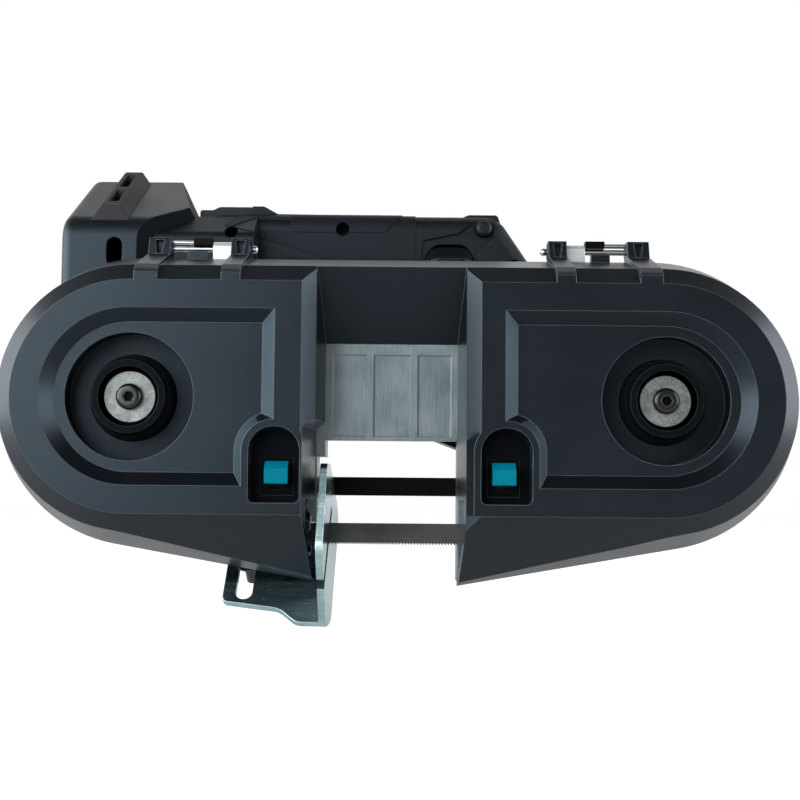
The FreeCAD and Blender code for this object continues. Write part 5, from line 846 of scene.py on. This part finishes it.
COVER = BladeCover(
    "blade cover",
    {"blade_cover": COVER_NYLON, "cover_latch_left": TEAL_ABS, "cover_latch_right": TEAL_ABS,
     "hinge_pins": BRIGHT_STEEL, "hinge_rods": BRIGHT_STEEL, "rod_blocks": BLACK_ENAMEL},
    smoothed=("blade_cover", "hinge_pins", "hinge_rods"))
FRAME = CastFrame(
    "cast frame",
    {"main_frame": CAST_ALUMINIUM, "rear_guard_bar": BLACK_ENAMEL, "guard_bar_screws": BLACK_OXIDE,
     "idler_back_cover": HOUSING_NYLON, "back_cover_screws": ZINC_STEEL, "stopper_plate": ZINC_STEEL,
     "stopper_screw": BLACK_OXIDE, "saw_blade": BAND_STEEL},
    smoothed=("main_frame", "stopper_plate", "stopper_screw", "idler_back_cover", "back_cover_screws",
              "guard_bar_screws", "saw_blade"))
WHEELS = SubAssembly(
    "wheels",
    {"drive_wheel": BLACK_ENAMEL, "drive_tire": BLACK_RUBBER, "drive_shaft": GEAR_STEEL,
     "drive_bearings": BRIGHT_STEEL, "idler_wheel": BLACK_ENAMEL, "idler_tire": BLACK_RUBBER,
     "idler_axle": GEAR_STEEL, "idler_bearings": BRIGHT_STEEL, "idler_spacer": BLACK_OXIDE,
     "idler_carriage": CAST_ALUMINIUM, "tension_spring": ZINC_STEEL, "tension_lever": HOUSING_NYLON,
     "cam_shaft": ZINC_STEEL},
    smoothed=("drive_wheel", "idler_wheel", "drive_tire", "idler_tire", "tension_lever", "cam_shaft"))
WHEEL_ENDS = WheelEnds(
    "wheel ends",
    {"drive_washer": WASHER_STEEL, "idler_washer": WASHER_STEEL, "drive_wheel_screw": BLACK_OXIDE,
     "idler_wheel_screw": BLACK_OXIDE},
    smoothed=("drive_washer", "idler_washer", "drive_wheel_screw", "idler_wheel_screw"))
GUIDES = GuideRollers(
    "blade guides",
    {"guide_bracket_left": ZINC_STEEL, "guide_bracket_right": ZINC_STEEL, "guide_pins": BRIGHT_STEEL,
     "guide_roller_left_front": BRIGHT_STEEL, "guide_roller_left_back": BRIGHT_STEEL,
     "guide_roller_right_front": BRIGHT_STEEL, "guide_roller_right_back": BRIGHT_STEEL},
    smoothed=("guide_pins", "guide_roller_left_front", "guide_roller_left_back", "guide_roller_right_front",
              "guide_roller_right_back"))
MOTOR = SubAssembly(
    "gears and motor",
    {"gear_plate": BLACK_ENAMEL, "gear_housing": HOUSING_NYLON, "motor_housing": HOUSING_NYLON,
     "output_gear": GEAR_STEEL, "lay_gear": GEAR_STEEL, "motor_pinion": GEAR_STEEL, "rotor": GEAR_STEEL,
     "stator": COPPER_WINDING, "motor_fan": HOUSING_NYLON, "rotor_bearing": BRIGHT_STEEL},
    smoothed=("gear_housing", "motor_housing", "stator"))
HANDLE = GripSkin(
    "handle",
    {"handle_front_shell": GRIP_NYLON, "handle_rear_shell": GRIP_NYLON, "handle_screws": BLACK_ENAMEL,
     "trigger": GRIP_NYLON, "trigger_spring": ZINC_STEEL, "lock_off_button": GRIP_NYLON,
     "switch_body": BLACK_ENAMEL, "control_board": BLACK_ENAMEL},
    smoothed=("handle_front_shell", "handle_rear_shell", "handle_screws", "trigger", "lock_off_button"))
BATTERY_END = BatteryEnd(
    "battery end",
    {"battery_block": HOUSING_NYLON, "rubber_bumper": BLACK_RUBBER, "terminal_block": BLACK_ENAMEL},
    smoothed=("battery_block", "rubber_bumper"))


def main() -> None:
    """Build every sub-assembly and the studio in order."""
    logging.basicConfig(level=logging.INFO, format="%(message)s")
    for group in (COVER, FRAME, WHEELS, WHEEL_ENDS, GUIDES, MOTOR, HANDLE, BATTERY_END):
        group.build()
    Studio().build()
    deselect()


if __name__ == "__main__":
    main()
